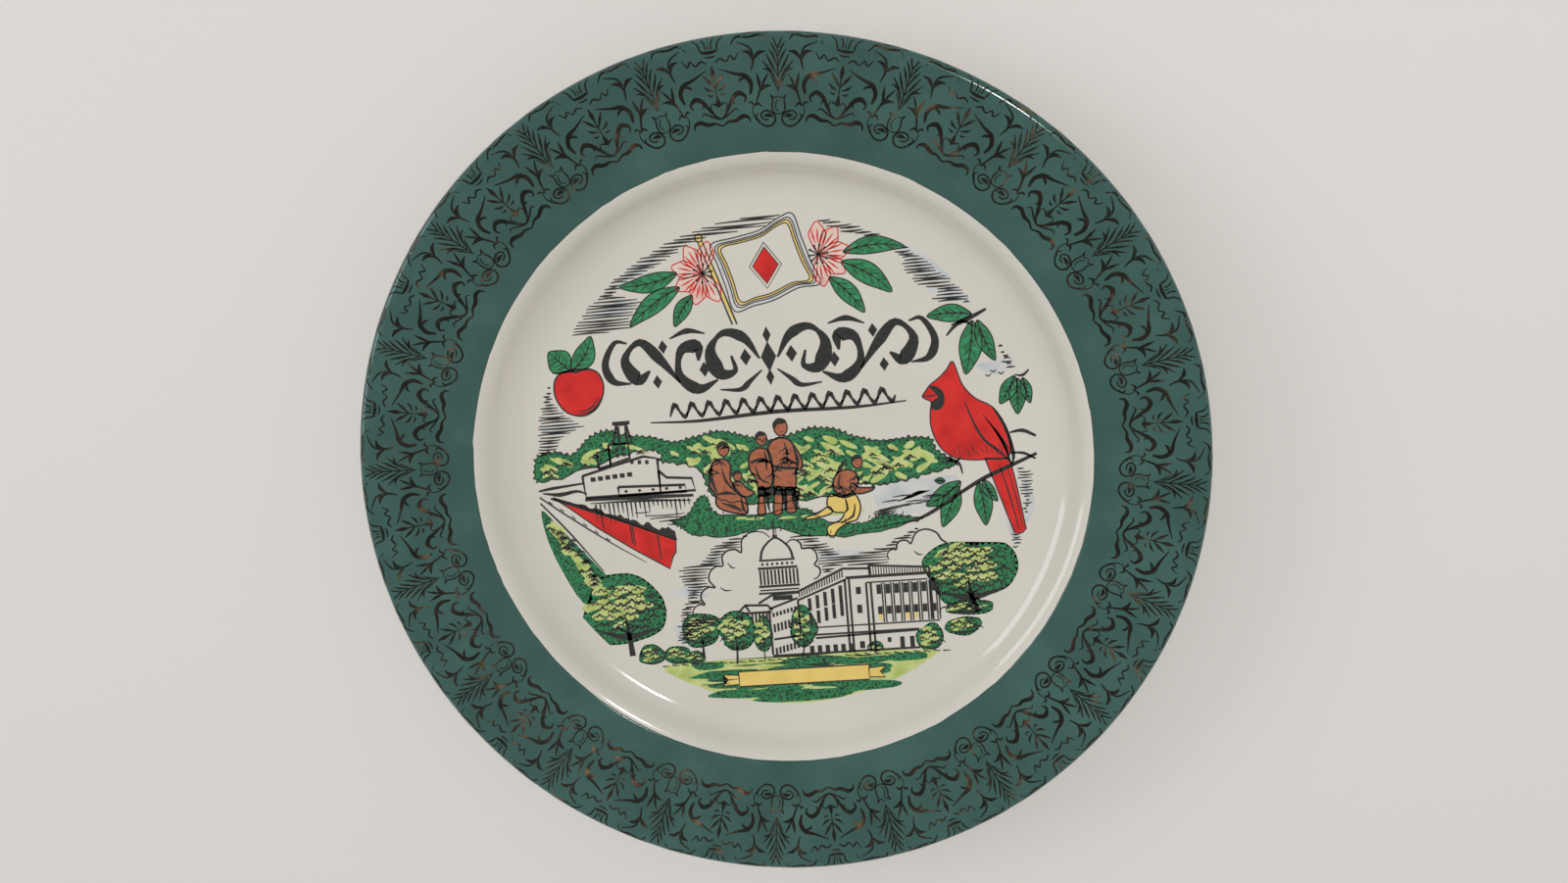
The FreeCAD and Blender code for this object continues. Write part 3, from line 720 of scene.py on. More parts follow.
lace_round = lace_source.modifiers.new("repeat", "NODES")
lace_round.node_group = repeating_tree()
set_inputs(lace_round, {"Repeats": lace_repeats, "First Angle": first_tulip, "Strip Slip": strip_slip,
                        "Repeats In Strip": 4, "Seed": 3, "Finish": gold})
gold_lace = baked("gold_lace_print", lace_source, gold)
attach(gold_lace, "root")
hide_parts("rim_gold_lace")

# The picture: a transfer printed in eight colours and slid on to the glazed well as one sheet.
# Places in it are shares of its radius, from its middle. Colours that overlap lie in the order
# in which the screens were printed, each under a hundredth of a millimetre over the last.
picture_radius = floor_radius - 2.6
picture_middle = Vector((0.2, -1.0))
screen_step = 0.008
patch_spread = 0.45
golden_share = 0.618034
ink_sink = -0.01
grey_order, wooded_order, lawn_order, yellow_order = range(1, 5)
rose_order, brown_order, red_order, key_order = range(5, 9)
leaf_order = brown_order
lawn_shade_order = lawn_order + 0.5


def spot(place):
    return picture_middle + Vector(place) * picture_radius


def on_floor(place, lift):
    return Vector((place.x, place.y, floor_level + lift)) * MM


def closed_line(places, steps=4):
    """Smooth closed outline through places."""
    points = [Vector(place) for place in places]
    count = len(points)
    line = []
    for i in range(count):
        p0, p1, p2, p3 = (points[(i + k) % count] for k in (-1, 0, 1, 2))
        for step in range(steps):
            line.append(curve_place(p0, p1, p2, p3, step / steps))
    return line


def fill(solid, outline, screen):
    """Closed patch of ink inside an outline of places, a hair off the level of the patch before."""
    lift = (screen + patch_spread * ((golden_share * len(solid.verts)) % 1)) * screen_step
    top = [solid.verts.new(on_floor(spot(place), lift)) for place in outline]
    low = [solid.verts.new(on_floor(spot(place), ink_sink)) for place in outline]
    faces = [solid.faces.new(top), solid.faces.new(low[::-1])]
    bmesh.ops.triangulate(solid, faces=faces, ngon_method="EAR_CLIP")
    for i in range(len(top)):
        j = (i + 1) % len(top)
        solid.faces.new((top[j], top[i], low[i], low[j]))


def pen(solid, places, widths, screen, steps=3):
    """Pen line through places, with its widths in millimetres."""
    line = smooth_line([spot(place) for place in places], steps)
    left, right = pen_sides(line, widths)
    add_film(solid, left, right, on_floor, ink_sink, screen * screen_step)


def inside(place, outline):
    """Whether a place is inside an outline."""
    x, y = place
    found = False
    for (x0, y0), (x1, y1) in zip(outline, outline[1:] + outline[:1]):
        if (y0 > y) != (y1 > y) and x < (x1 - x0) * (y - y0) / (y1 - y0) + x0:
            found = not found
    return found


def bumpy(places, size, draw):
    """The outline with a run of small round bumps along it, as leaves make."""
    line = closed_line(places, 10)
    length = sum((b - a).length for a, b in zip(line, line[1:] + line[:1]))
    count = max(6, round(length / size))
    walked = 0
    bumps = []
    for a, b in zip(line, line[1:] + line[:1]):
        walked += (b - a).length
        along = (b - a).normalized()
        swell = abs(math.sin(math.pi * walked / length * count)) * size * 0.55
        bumps.append(a + Vector((along.y, -along.x)) * swell * draw.uniform(0.85, 1.15))
    return bumps


def oval(x, y, width, height, points=10):
    return [(x + width / 2 * math.cos(2 * math.pi * i / points),
             y + height / 2 * math.sin(2 * math.pi * i / points)) for i in range(points)]


def printed_piece(name, solid, material, node):
    """A screen's ink as one piece that rides on the ware and stands for its plain solid."""
    bmesh.ops.recalc_face_normals(solid, faces=solid.faces)
    mesh = bpy.data.meshes.new(name)
    solid.to_mesh(mesh)
    solid.free()
    mesh.materials.append(material)
    piece = bpy.data.objects.new(name, mesh)
    bpy.context.collection.objects.link(piece)
    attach(piece, "root")
    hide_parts(node)
    return piece


def ink(name, colours, scale=500.0, low=0.35, high=0.65):
    """Fired printing ink: glossy under the glaze's ripple, and a little uneven in tone."""
    material = fresh_material(name, colours[0], 0.12)
    mottled(material, scale, colours, 3.0, low, high)
    return material


# Blue-grey screen: washes of shadow in the sky, the river, and the border of the flag.
flag_edge = [(-0.195, 0.895), (-0.10, 0.915), (0.0, 0.935), (0.075, 0.975), (0.13, 0.985), (0.155, 0.90),
             (0.185, 0.80), (0.215, 0.715), (0.13, 0.705), (0.03, 0.665), (-0.05, 0.65), (-0.125, 0.635),
             (-0.15, 0.73), (-0.175, 0.82)]


def shrunk(places, share, middle):
    return [(middle[0] + (x - middle[0]) * share, middle[1] + (y - middle[1]) * share) for x, y in places]


def band_between(solid, outer, inner, screen):
    """Ring of ink between two outlines of the same number of places."""
    count = len(outer)
    for i in range(count):
        j = (i + 1) % count
        fill(solid, [outer[i], outer[j], inner[j], inner[i]], screen)


flag_middle = (0.01, 0.81)
lozenge = [(0.01, 0.87), (0.06, 0.80), (0.01, 0.73), (-0.04, 0.80)]
lozenge_middle = (0.01, 0.80)
flag_outline = closed_line(flag_edge)
grey_solid = bmesh.new()
band_between(grey_solid, shrunk(flag_outline, 0.985, flag_middle), shrunk(flag_outline, 0.91, flag_middle),
             grey_order)
washes = [
    ([(-0.58, 0.76), (-0.50, 0.80), (-0.42, 0.87)], [1, 5, 2]),
    ([(-0.70, 0.66), (-0.58, 0.68), (-0.52, 0.70)], [1, 5, 1]),
    ([(0.52, 0.84), (0.60, 0.76), (0.70, 0.69)], [2, 6, 2]),
    ([(0.62, 0.66), (0.70, 0.64), (0.78, 0.60)], [1, 5, 1]),
    ([(0.79, 0.35), (0.86, 0.34), (0.93, 0.36)], [1, 5, 2]),
    ([(-0.95, 0.24), (-0.88, 0.22), (-0.80, 0.24)], [1, 4, 1]),
    ([(-0.50, -0.49), (-0.42, -0.48), (-0.34, -0.50)], [1, 5, 1]),
    ([(-0.36, -0.36), (-0.30, -0.35), (-0.26, -0.37)], [1, 3, 1]),
    ([(0.12, -0.36), (0.20, -0.37), (0.30, -0.36)], [1, 4, 1]),
    ([(-0.49, -0.62), (-0.46, -0.66), (-0.47, -0.70)], [2, 5, 1]),
    ([(0.87, -0.12), (0.90, -0.26), (0.90, -0.38)], [2, 6, 1]),
    ([(0.95, -0.10), (0.965, -0.20), (0.95, -0.28)], [1, 3, 1]),
    ([(0.36, -0.15), (0.50, -0.115), (0.69, -0.085)], [6, 6, 2]),
    ([(0.42, -0.20), (0.54, -0.17), (0.68, -0.155)], [3, 7, 3]),
]
for places, widths in washes:
    pen(grey_solid, places, widths, grey_order, 6)
grey_ink = ink("blue_grey_ink", [(0.47, 0.50, 0.52), (0.56, 0.575, 0.575), (0.60, 0.60, 0.58)], 160.0)
printed_piece("blue_grey_screen", grey_solid, grey_ink, "blue_grey_print")

# Dark green screen: the wooded hills and tree crowns, the mound the travellers stand on, the
# bank by the road and the shade on the lawn. The ink's own stipple is printed with it.
hills = [(-0.985, 0.12), (-0.90, 0.145), (-0.83, 0.13), (-0.76, 0.19), (-0.68, 0.215), (-0.60, 0.19),
         (-0.50, 0.175),
         (-0.42, 0.15), (-0.33, 0.165), (-0.24, 0.18), (-0.15, 0.16), (-0.05, 0.13), (0.05, 0.145),
         (0.13, 0.165),
         (0.22, 0.155), (0.30, 0.12), (0.40, 0.095), (0.52, 0.10), (0.60, 0.085), (0.62, 0.04), (0.67, 0.0),
         (0.69, -0.04), (0.55, -0.075), (0.40, -0.10), (0.30, -0.09), (0.20, -0.13), (-0.10, -0.14),
         (-0.28, -0.10), (-0.34, 0.02), (-0.48, 0.06), (-0.49, 0.10), (-0.60, 0.10), (-0.80, 0.045),
         (-0.985, 0.01)]
trees = [  # middle, width and height of the crown, foot of the trunk, number of clumps
    ((-0.685, -0.54), 0.33, 0.25, (-0.68, -0.74), 26),
    ((0.715, -0.465), 0.34, 0.24, (0.74, -0.64), 30),
    ((-0.385, -0.645), 0.15, 0.12, (-0.385, -0.77), 9),
    ((-0.245, -0.665), 0.13, 0.15, (-0.25, -0.80), 10),
    ((-0.135, -0.675), 0.075, 0.13, (-0.135, -0.79), 6),
    ((0.03, -0.665), 0.095, 0.17, (0.02, -0.79), 9),
    ((-0.60, -0.745), 0.10, 0.07, None, 6),
    ((-0.49, -0.75), 0.09, 0.06, None, 5),
    ((-0.425, -0.765), 0.08, 0.045, None, 4),
    ((0.545, -0.735), 0.10, 0.10, None, 6),
    ((0.68, -0.695), 0.13, 0.06, None, 6),
    ((0.32, -0.765), 0.05, 0.035, None, 2),
    ((0.70, -0.62), 0.17, 0.04, None, 5),
]
mound = [(-0.47, -0.175), (-0.40, -0.155), (-0.34, -0.085), (-0.30, -0.09), (-0.27, -0.155),
         (-0.10, -0.168),
         (0.08, -0.160), (0.16, -0.215), (0.30, -0.235), (0.38, -0.205), (0.46, -0.215), (0.55, -0.24),
         (0.44, -0.27),
         (0.26, -0.295), (0.10, -0.285), (-0.06, -0.245), (-0.20, -0.26), (-0.36, -0.255), (-0.42, -0.22)]
lawn = [(0.985 * math.cos(math.radians(angle)), 0.985 * math.sin(math.radians(angle)))
        for angle in range(-128, -51, 4)]
bank = [(-0.985, -0.10), (-0.93, -0.16), (-0.86, -0.25), (-0.78, -0.35), (-0.74, -0.41), (-0.77, -0.45),
        (-0.80, -0.50), (-0.86, -0.50), (-0.93, -0.36), (-0.975, -0.22)]
draw = random.Random(11)


def clump(x, y, width, height, turn=0.0):
    """Irregular lobed patch of foliage."""
    shape = []
    for i in range(9):
        angle = 2 * math.pi * i / 9
        lobe = draw.uniform(0.72, 1.12) / 2
        u, v = width * lobe * math.cos(angle), height * lobe * math.sin(angle)
        shape.append((x + u * math.cos(turn) - v * math.sin(turn),
                      y + u * math.sin(turn) + v * math.cos(turn)))
    return closed_line(shape, 2)


hill_edge = bumpy(hills, 0.025, draw)
crowns = [bumpy(clump(*middle, width * 1.08, height * 1.08), 0.014 + 0.03 * width, draw)
          for middle, width, height, foot, clumps in trees]
mound_edge = bumpy(mound, 0.018, draw)


wooded_solid = bmesh.new()
for shape in [hill_edge, mound_edge, closed_line(bank, 3)] + crowns:
    fill(wooded_solid, shape, wooded_order)
for i in range(70):
    x = draw.uniform(-0.56, 0.56)
    y = draw.uniform(-0.965, -0.80)
    if math.hypot(abs(x) + 0.10, y) < 0.975:
        fill(wooded_solid, clump(x, y, draw.uniform(0.12, 0.32), draw.uniform(0.018, 0.040)),
             lawn_shade_order)
for x, y, width in ((0.0, -0.957, 0.44), (0.26, -0.925, 0.30), (-0.24, -0.93, 0.28), (0.05, -0.805, 0.34),
                    (0.44, -0.81, 0.20)):
    fill(wooded_solid, clump(x, y, width, 0.042), lawn_shade_order)
wooded_ink = ink("wooded_green_ink", [(0.004, 0.022, 0.010), (0.013, 0.13, 0.045), (0.020, 0.20, 0.075)],
                 1250.0, 0.38, 0.56)
printed_piece("wooded_screen", wooded_solid, wooded_ink, "dark_green_print")

# Light green screen: sunlit tops of the trees, clearings on the hills, and the lawn.
light_solid = bmesh.new()
fill(light_solid, [(-0.56, -0.79), *lawn[1:-1], (0.58, -0.79), (0.3, -0.775), (0.0, -0.785),
                   (-0.3, -0.78)], lawn_order)
clearings = []
for i in range(330):
    x = draw.uniform(-0.97, 0.66)
    y = draw.uniform(-0.11, 0.19)
    far = [(x + dx, y + dy) for dx, dy in ((0.03, 0.035), (-0.03, 0.035), (0.03, -0.02), (-0.03, -0.02))]
    if all(inside(place, hills) for place in far):
        clearings.append((x, y))
        fill(light_solid, clump(x, y, draw.uniform(0.04, 0.10), draw.uniform(0.015, 0.032),
                                -0.5 if i % 3 else 0.5), lawn_order)
for (x, y), width, height, foot, clumps in trees:
    count = 2 + clumps // 2
    for i in range(count):
        turn = 2.4 * i + 1.0
        reach = math.sqrt((i + 0.5) / count) * 0.72
        place = (x + (reach * math.cos(turn) - 0.15) * width / 2,
                 y + (reach * math.sin(turn) + 0.18) * height / 2)
        size = draw.uniform(1.0, 1.6) / math.sqrt(count)
        fill(light_solid, clump(*place, width * size * 0.8, height * size * 0.42, 0.15), lawn_order)
for i in range(26):
    share = draw.uniform(0.0, 0.9)
    x = -0.945 + 0.15 * share + draw.uniform(-0.01, 0.02)
    fill(light_solid, clump(x, -0.17 - 0.28 * share, draw.uniform(0.04, 0.085), draw.uniform(0.025, 0.045),
                            -0.8), lawn_order)
for i in range(9):
    fill(light_solid, clump(draw.uniform(-0.22, 0.30), draw.uniform(-0.20, -0.185),
                            draw.uniform(0.04, 0.10), 0.012), lawn_order)
light_ink = ink("light_green_ink", [(0.38, 0.47, 0.13), (0.47, 0.55, 0.18), (0.56, 0.60, 0.26)], 260.0)
printed_piece("light_green_screen", light_solid, light_ink, "light_green_print")

# Yellow screen: a blank name ribbon under the hall, the flag's inner border and staff, lit
# windows, and the kneeling traveller's leggings.
yellow_solid = bmesh.new()
band_between(yellow_solid, shrunk(flag_outline, 0.87, flag_middle),
             shrunk(flag_outline, 0.80, flag_middle), yellow_order)
ribbon_middle = [(-0.25, -0.835), (0.285, -0.835), (0.285, -0.90), (-0.25, -0.90)]
ribbon_ends = []
for side, x in ((-1, -0.25), (1, 0.285)):
    ribbon_ends.append([(x, -0.85), (x + side * 0.065, -0.845), (x + side * 0.045, -0.868),
                        (x + side * 0.065, -0.893),
                        (x, -0.89)])
for patch in [ribbon_middle] + ribbon_ends:
    fill(yellow_solid, patch, yellow_order)
leggings = [
    [(0.185, -0.115), (0.23, -0.13), (0.28, -0.12), (0.302, -0.17), (0.285, -0.225), (0.25, -0.235),
     (0.205, -0.262),
     (0.185, -0.292), (0.166, -0.28), (0.166, -0.245), (0.215, -0.225), (0.235, -0.195), (0.20, -0.19),
     (0.17, -0.16)],
    [(0.175, -0.165), (0.13, -0.19), (0.09, -0.20), (0.08, -0.213), (0.14, -0.206), (0.188, -0.19)],
]
for patch in leggings:
    fill(yellow_solid, closed_line(patch, 3), yellow_order)
for i in (0, 3, 4):
    x = 0.342 + 0.036 * i
    fill(yellow_solid, [(x, -0.648), (x + 0.014, -0.648), (x + 0.014, -0.626), (x, -0.626)], yellow_order)
pen(yellow_solid, [(-0.235, 0.915), (-0.185, 0.76), (-0.13, 0.60)], [1.1, 1.1, 0.9], yellow_order)
fill(yellow_solid, oval(-0.238, 0.925, 0.026, 0.026), yellow_order)
yellow_ink = ink("yellow_ink", [(0.72, 0.52, 0.13), (0.78, 0.58, 0.17)], 200.0)
printed_piece("yellow_screen", yellow_solid, yellow_ink, "yellow_print")

# Rose screen: two open blossoms behind the flag, one with six petals and one with five.
blossoms = [((-0.235, 0.79), 0.105, [118, 163, 205, 250, 295, 75]),
            ((0.215, 0.825), 0.105, [5, 50, 88, -40, -85])]


def petal(middle, reach, angle):
    """Broad pointed petal from the flower's middle."""
    shape = [(0.05, 0.0), (0.35, 0.20), (0.72, 0.32), (0.95, 0.22), (1.18, 0.02), (0.98, -0.18),
             (0.74, -0.30),
             (0.36, -0.20)]
    turn = math.radians(angle)
    return [(middle[0] + reach * (u * math.cos(turn) - v * math.sin(turn)),
             middle[1] + reach * (u * math.sin(turn) + v * math.cos(turn))) for u, v in shape]


petals = [petal(middle, reach, angle) for middle, reach, angles in blossoms for angle in angles]
rose_solid = bmesh.new()
for shape in petals:
    fill(rose_solid, closed_line(shape, 3), rose_order)
rose_ink = ink("rose_ink", [(0.70, 0.58, 0.50), (0.72, 0.50, 0.44), (0.66, 0.26, 0.24)], 170.0, 0.45, 0.75)
printed_piece("rose_screen", rose_solid, rose_ink, "rose_print")

# Brown screen: coats, arms, legs and heads of four travellers and the kneeling one.
travellers = [  # middle of the head, its size, and the outlines of coat, legs and arms
    ((-0.222, 0.098), 0.046, [
        [(-0.265, 0.05), (-0.225, 0.058), (-0.20, 0.03), (-0.205, -0.03), (-0.175, -0.085),
         (-0.152, -0.11), (-0.15, -0.168),
         (-0.19, -0.168), (-0.245, -0.15), (-0.272, -0.125), (-0.27, -0.085), (-0.292, -0.045),
         (-0.285, 0.01)]]),
    ((-0.176, -0.015), 0.034, [
        [(-0.195, -0.04), (-0.165, -0.042), (-0.14, -0.07), (-0.115, -0.085), (-0.135, -0.10),
         (-0.165, -0.10), (-0.19, -0.075)]]),
    ((-0.068, 0.128), 0.044, [
        [(-0.115, 0.075), (-0.08, 0.092), (-0.045, 0.078), (-0.034, 0.03), (-0.04, -0.05), (-0.06, -0.075),
         (-0.095, -0.072),
         (-0.105, -0.03), (-0.122, 0.0), (-0.126, 0.04)],
        [(-0.098, -0.07), (-0.072, -0.07), (-0.078, -0.12), (-0.078, -0.175), (-0.108, -0.175),
         (-0.10, -0.12)]]),
    ((0.012, 0.168), 0.054, [
        [(-0.045, 0.09), (-0.01, 0.125), (0.035, 0.12), (0.065, 0.08), (0.086, 0.03), (0.078, -0.01),
         (0.058, -0.005),
         (0.052, -0.075), (0.01, -0.085), (-0.035, -0.075), (-0.03, -0.02), (-0.038, 0.03)],
        [(-0.03, -0.08), (-0.005, -0.08), (-0.012, -0.175), (-0.045, -0.175)],
        [(0.01, -0.08), (0.045, -0.08), (0.035, -0.12), (0.045, -0.175), (0.008, -0.175), (0.012, -0.12)]]),
    ((0.302, 0.008), 0.042, [
        [(0.255, -0.02), (0.285, -0.028), (0.302, -0.06), (0.288, -0.10), (0.255, -0.12), (0.225, -0.118),
         (0.20, -0.095),
         (0.205, -0.055), (0.225, -0.03)],
        [(0.275, -0.075), (0.30, -0.095), (0.345, -0.10), (0.362, -0.098), (0.35, -0.112), (0.30, -0.122),
         (0.27, -0.105)]]),
]
brown_solid = bmesh.new()
for (x, y), size, shapes in travellers:
    for shape in shapes:
        fill(brown_solid, closed_line(shape, 3), brown_order)
    fill(brown_solid, oval(x, y, size, size * 1.25, 14), brown_order)
brown_ink = ink("brown_ink", [(0.30, 0.085, 0.038), (0.40, 0.125, 0.058), (0.33, 0.10, 0.045)], 300.0)
printed_piece("brown_screen", brown_solid, brown_ink, "brown_print")

# The leaves of the apple, the blossoms and the twigs, in the dark green ink laid flat.
# Each is bent along its midrib.
leaves = [  # stalk, tip, fullness and bend
    ((-0.335, 0.80), (-0.565, 0.765), 0.30, 0.12), ((-0.33, 0.745), (-0.54, 0.61), 0.30, -0.10),
    ((-0.285, 0.71), (-0.365, 0.595), 0.42, -0.08), ((0.31, 0.825), (0.545, 0.825), 0.28, 0.16),
    ((0.30, 0.79), (0.485, 0.66), 0.36, 0.12), ((0.25, 0.735), (0.375, 0.59), 0.36, 0.10),
    ((-0.79, 0.455), (-0.70, 0.585), 0.52, -0.20), ((-0.80, 0.458), (-0.875, 0.535), 0.95, 0.0),
    ((0.78, 0.55), (0.61, 0.555), 0.40, -0.10),
    ((0.78, 0.525), (0.745, 0.32), 0.42, 0.06), ((0.80, 0.525), (0.86, 0.365), 0.36, -0.06),
    ((0.93, 0.30), (0.87, 0.195), 0.50, 0.05), ((0.94, 0.29), (0.935, 0.15), 0.46, 0.0),
    ((0.96, 0.29), (0.985, 0.19), 0.40, 0.0), ((0.70, -0.10), (0.56, -0.19), 0.44, 0.10),
    ((0.69, -0.12), (0.62, -0.28), 0.42, 0.0), ((0.77, -0.11), (0.79, -0.285), 0.40, 0.06),
    ((0.79, -0.10), (0.84, -0.19), 0.42, -0.10), ((0.64, -0.095), (0.60, -0.09), 0.6, 0.0),
]


def leaf_line(stalk, tip, bend, share, side):
    """Place along a bent leaf, and to one side of its midrib."""
    run = Vector(tip) - Vector(stalk)
    across = Vector((-run.y, run.x))
    return Vector(stalk) + run * share + across * (bend * 4 * share * (1 - share) * 0.5 + side)


def leaf_outline(stalk, tip, fullness, bend):
    half = [(0.0, 0.0), (0.12, 0.24), (0.32, 0.46), (0.55, 0.48), (0.78, 0.30), (1.0, 0.0)]
    outline = [leaf_line(stalk, tip, bend, share, fullness * width) for share, width in half]
    return outline + [leaf_line(stalk, tip, bend, share, -fullness * width) for share,
                      width in half[-2:0:-1]]


leaf_solid = bmesh.new()
for leaf in leaves:
    fill(leaf_solid, closed_line(leaf_outline(*leaf), 3), leaf_order)
leaf_ink = ink("leaf_green_ink", [(0.012, 0.14, 0.048), (0.018, 0.20, 0.072), (0.035, 0.27, 0.12)], 420.0)
printed_piece("leaf_screen", leaf_solid, leaf_ink, "dark_green_print")

# Red screen: the apple, the crested bird, the barge's side, the lozenge on the flag and the
# outlines and veins of the blossoms.
apple = [(-0.775, 0.448), (-0.73, 0.46), (-0.685, 0.435), (-0.672, 0.375), (-0.70, 0.31), (-0.745, 0.278),
         (-0.79, 0.275), (-0.84, 0.30), (-0.87, 0.36), (-0.862, 0.425), (-0.82, 0.455)]
bird = [(0.697, 0.375), (0.716, 0.32), (0.733, 0.275), (0.775, 0.225), (0.84, 0.185), (0.885, 0.11),
        (0.903, 0.03),
        (0.885, -0.02), (0.82, -0.02), (0.75, -0.018), (0.68, -0.002), (0.628, 0.045), (0.600, 0.12),
        (0.600, 0.185),
        (0.606, 0.222), (0.585, 0.236), (0.573, 0.248), (0.588, 0.268), (0.606, 0.29), (0.645, 0.318),
        (0.675, 0.348)]
tail = [(0.80, -0.015), (0.895, -0.02), (0.915, -0.12), (0.945, -0.31), (0.93, -0.325), (0.90, -0.325),
        (0.86, -0.20)]
barge = [(-0.93, -0.05), (-0.84, -0.085), (-0.70, -0.145), (-0.55, -0.215), (-0.45, -0.26),
         (-0.455, -0.31), (-0.47, -0.33),
         (-0.485, -0.378), (-0.62, -0.29), (-0.76, -0.19), (-0.86, -0.105)]
red_solid = bmesh.new()
fill(red_solid, closed_line(apple, 4), red_order)
fill(red_solid, closed_line(bird, 3), red_order)
fill(red_solid, tail, red_order)
fill(red_solid, barge, red_order)
fill(red_solid, lozenge, red_order)
for middle, reach, angles in blossoms:
    for angle in angles:
        for off in (-14, 0, 14):
            turn = math.radians(angle + off)
            line = [(middle[0] + reach * r * math.cos(turn),
                     middle[1] + reach * r * math.sin(turn)) for r in (0.4, 0.66, 0.92)]
            pen(red_solid, line, [0.2, 0.55, 0.2], red_order, 2)
for shape in petals:
    shape = closed_line(shape, 3)
    pen(red_solid, shape + shape[:1], [0.35, 0.35], red_order, 1)
red_ink = ink("red_ink", [(0.48, 0.006, 0.005), (0.60, 0.011, 0.008), (0.66, 0.018, 0.012)], 130.0)
printed_piece("red_screen", red_solid, red_ink, "red_print")

# Black key screen, printed last: a penman's flourish as a title, outlines and veins, hatching in
# the sky, and all the drawing of the works, the hall, the boats and the travellers.
draw = random.Random(9)
key_solid = bmesh.new()


def line(places, widths=(0.3, 0.45, 0.3), steps=3):
    pen(key_solid, places, list(widths), key_order, steps)


def edge(places, width=0.38):
    """Even outline round a closed shape."""
    pen(key_solid, list(places) + [places[0]], [width, width], key_order, 1)


def box(x0, y0, x1, y1):
    fill(key_solid, [(x0, y0), (x1, y0), (x1, y1), (x0, y1)], key_order)


# the title's place is taken by a symmetrical flourish and a waved line under it
flourish = [
    ([(0.035, 0.445), (0.09, 0.53), (0.17, 0.555), (0.225, 0.49), (0.195, 0.40), (0.135, 0.405),
      (0.145, 0.465)],
     [0.4, 2.4, 1.0, 3.6, 1.4, 0.5]),
    ([(0.205, 0.375), (0.285, 0.345), (0.355, 0.405), (0.34, 0.50), (0.275, 0.51), (0.275, 0.455)],
     [0.4, 2.8, 1.2, 3.2, 0.5]),
    ([(0.355, 0.375), (0.425, 0.47), (0.50, 0.545), (0.565, 0.48), (0.52, 0.40), (0.47, 0.43)],
     [0.4, 2.6, 1.0, 3.4, 0.5]),
    ([(0.55, 0.385), (0.62, 0.40), (0.645, 0.47), (0.60, 0.55), (0.55, 0.545)], [0.3, 2.0, 1.2, 0.4]),
    ([(0.03, 0.40), (0.08, 0.36), (0.12, 0.33), (0.20, 0.335)], [0.3, 1.4, 0.3]),
    ([(0.24, 0.56), (0.31, 0.575), (0.38, 0.55)], [0.3, 1.3, 0.3]),
]
for side in (-1, 1):
    for places, widths in flourish:
        line([(side * x - 0.01, y) for x, y in places], [1.4 * width for width in widths], 5)
    for x, y, size in ((0.255, 0.42, 0.020), (0.41, 0.52, 0.018), (0.445, 0.385, 0.018),
                       (0.09, 0.455, 0.022)):
        x = side * x - 0.01
        fill(key_solid, [(x, y + 1.5 * size), (x + size, y), (x, y - 1.5 * size), (x - size, y)], key_order)
for y, size in ((0.45, 0.030), (0.535, 0.016), (0.37, 0.016)):
    fill(key_solid, [(-0.01, y + 2 * size), (-0.01 + size, y), (-0.01, y - 2 * size), (-0.01 - size, y)],
         key_order)
for i in range(13):
    x = -0.42 + 0.068 * i
    line([(x, 0.242), (x + 0.022, 0.290), (x + 0.040, 0.262), (x + 0.060, 0.238), (x + 0.074, 0.262)],
         (0.4, 1.7, 0.7, 1.5, 0.4))
line([(-0.50, 0.225), (-0.30, 0.218), (0.0, 0.232), (0.30, 0.226), (0.51, 0.236)],
     (0.4, 1.0, 1.3, 1.0, 0.4))

# outlines of the coloured shapes
for middle, reach, angles in blossoms:
    for angle in range(angles[0], angles[0] + 330, 36):
        turn = math.radians(angle)
        tip = (middle[0] + 0.34 * reach * math.cos(turn), middle[1] + 0.34 * reach * math.sin(turn))
        line([middle, tip], (0.3, 0.5), 1)
        fill(key_solid, oval(*tip, 0.012, 0.010, 6), key_order)
for stalk, tip, fullness, bend in leaves:
    edge(closed_line(leaf_outline(stalk, tip, fullness, bend), 3), 0.36)
    line([leaf_line(stalk, tip, bend, share, 0) for share in (0, 0.35, 0.7, 0.97)], (0.5, 0.4, 0.25))
    for share in (0.2, 0.36, 0.52, 0.68):
        for side in (-1, 1):
            start = leaf_line(stalk, tip, bend, share, 0)
            line([start, leaf_line(stalk, tip, bend, share + 0.14, side * fullness * 0.30)], (0.3, 0.18), 1)
for shape in (flag_outline, shrunk(flag_outline, 0.91, flag_middle),
              shrunk(flag_outline, 0.86, flag_middle),
              shrunk(flag_outline, 0.80, flag_middle)):
    edge(shape, 0.34)
for shift in (-0.009, 0.009):
    line([(-0.235 + shift, 0.915), (-0.185 + shift, 0.76), (-0.13 + shift, 0.585)], (0.35, 0.45, 0.5))
edge(oval(-0.238, 0.925, 0.030, 0.030), 0.4)
edge(lozenge, 0.3)
edge(shrunk(lozenge, 1.25, lozenge_middle), 0.25)
edge(closed_line(apple, 4), 0.5)
line([(-0.87, 0.452), (-0.82, 0.452), (-0.775, 0.46), (-0.72, 0.452)], (0.3, 0.9, 0.3))
for reach in (0.78, 0.9):
    line([(-0.775 + reach * 0.10 * math.cos(math.radians(a)),
           0.365 + reach * 0.095 * math.sin(math.radians(a)))
          for a in (-20, -45, -70, -100)], (0.2, 0.6, 0.2))
edge(ribbon_middle, 0.45)
for shape in ribbon_ends:
    edge(shape, 0.4)
edge(barge, 0.45)

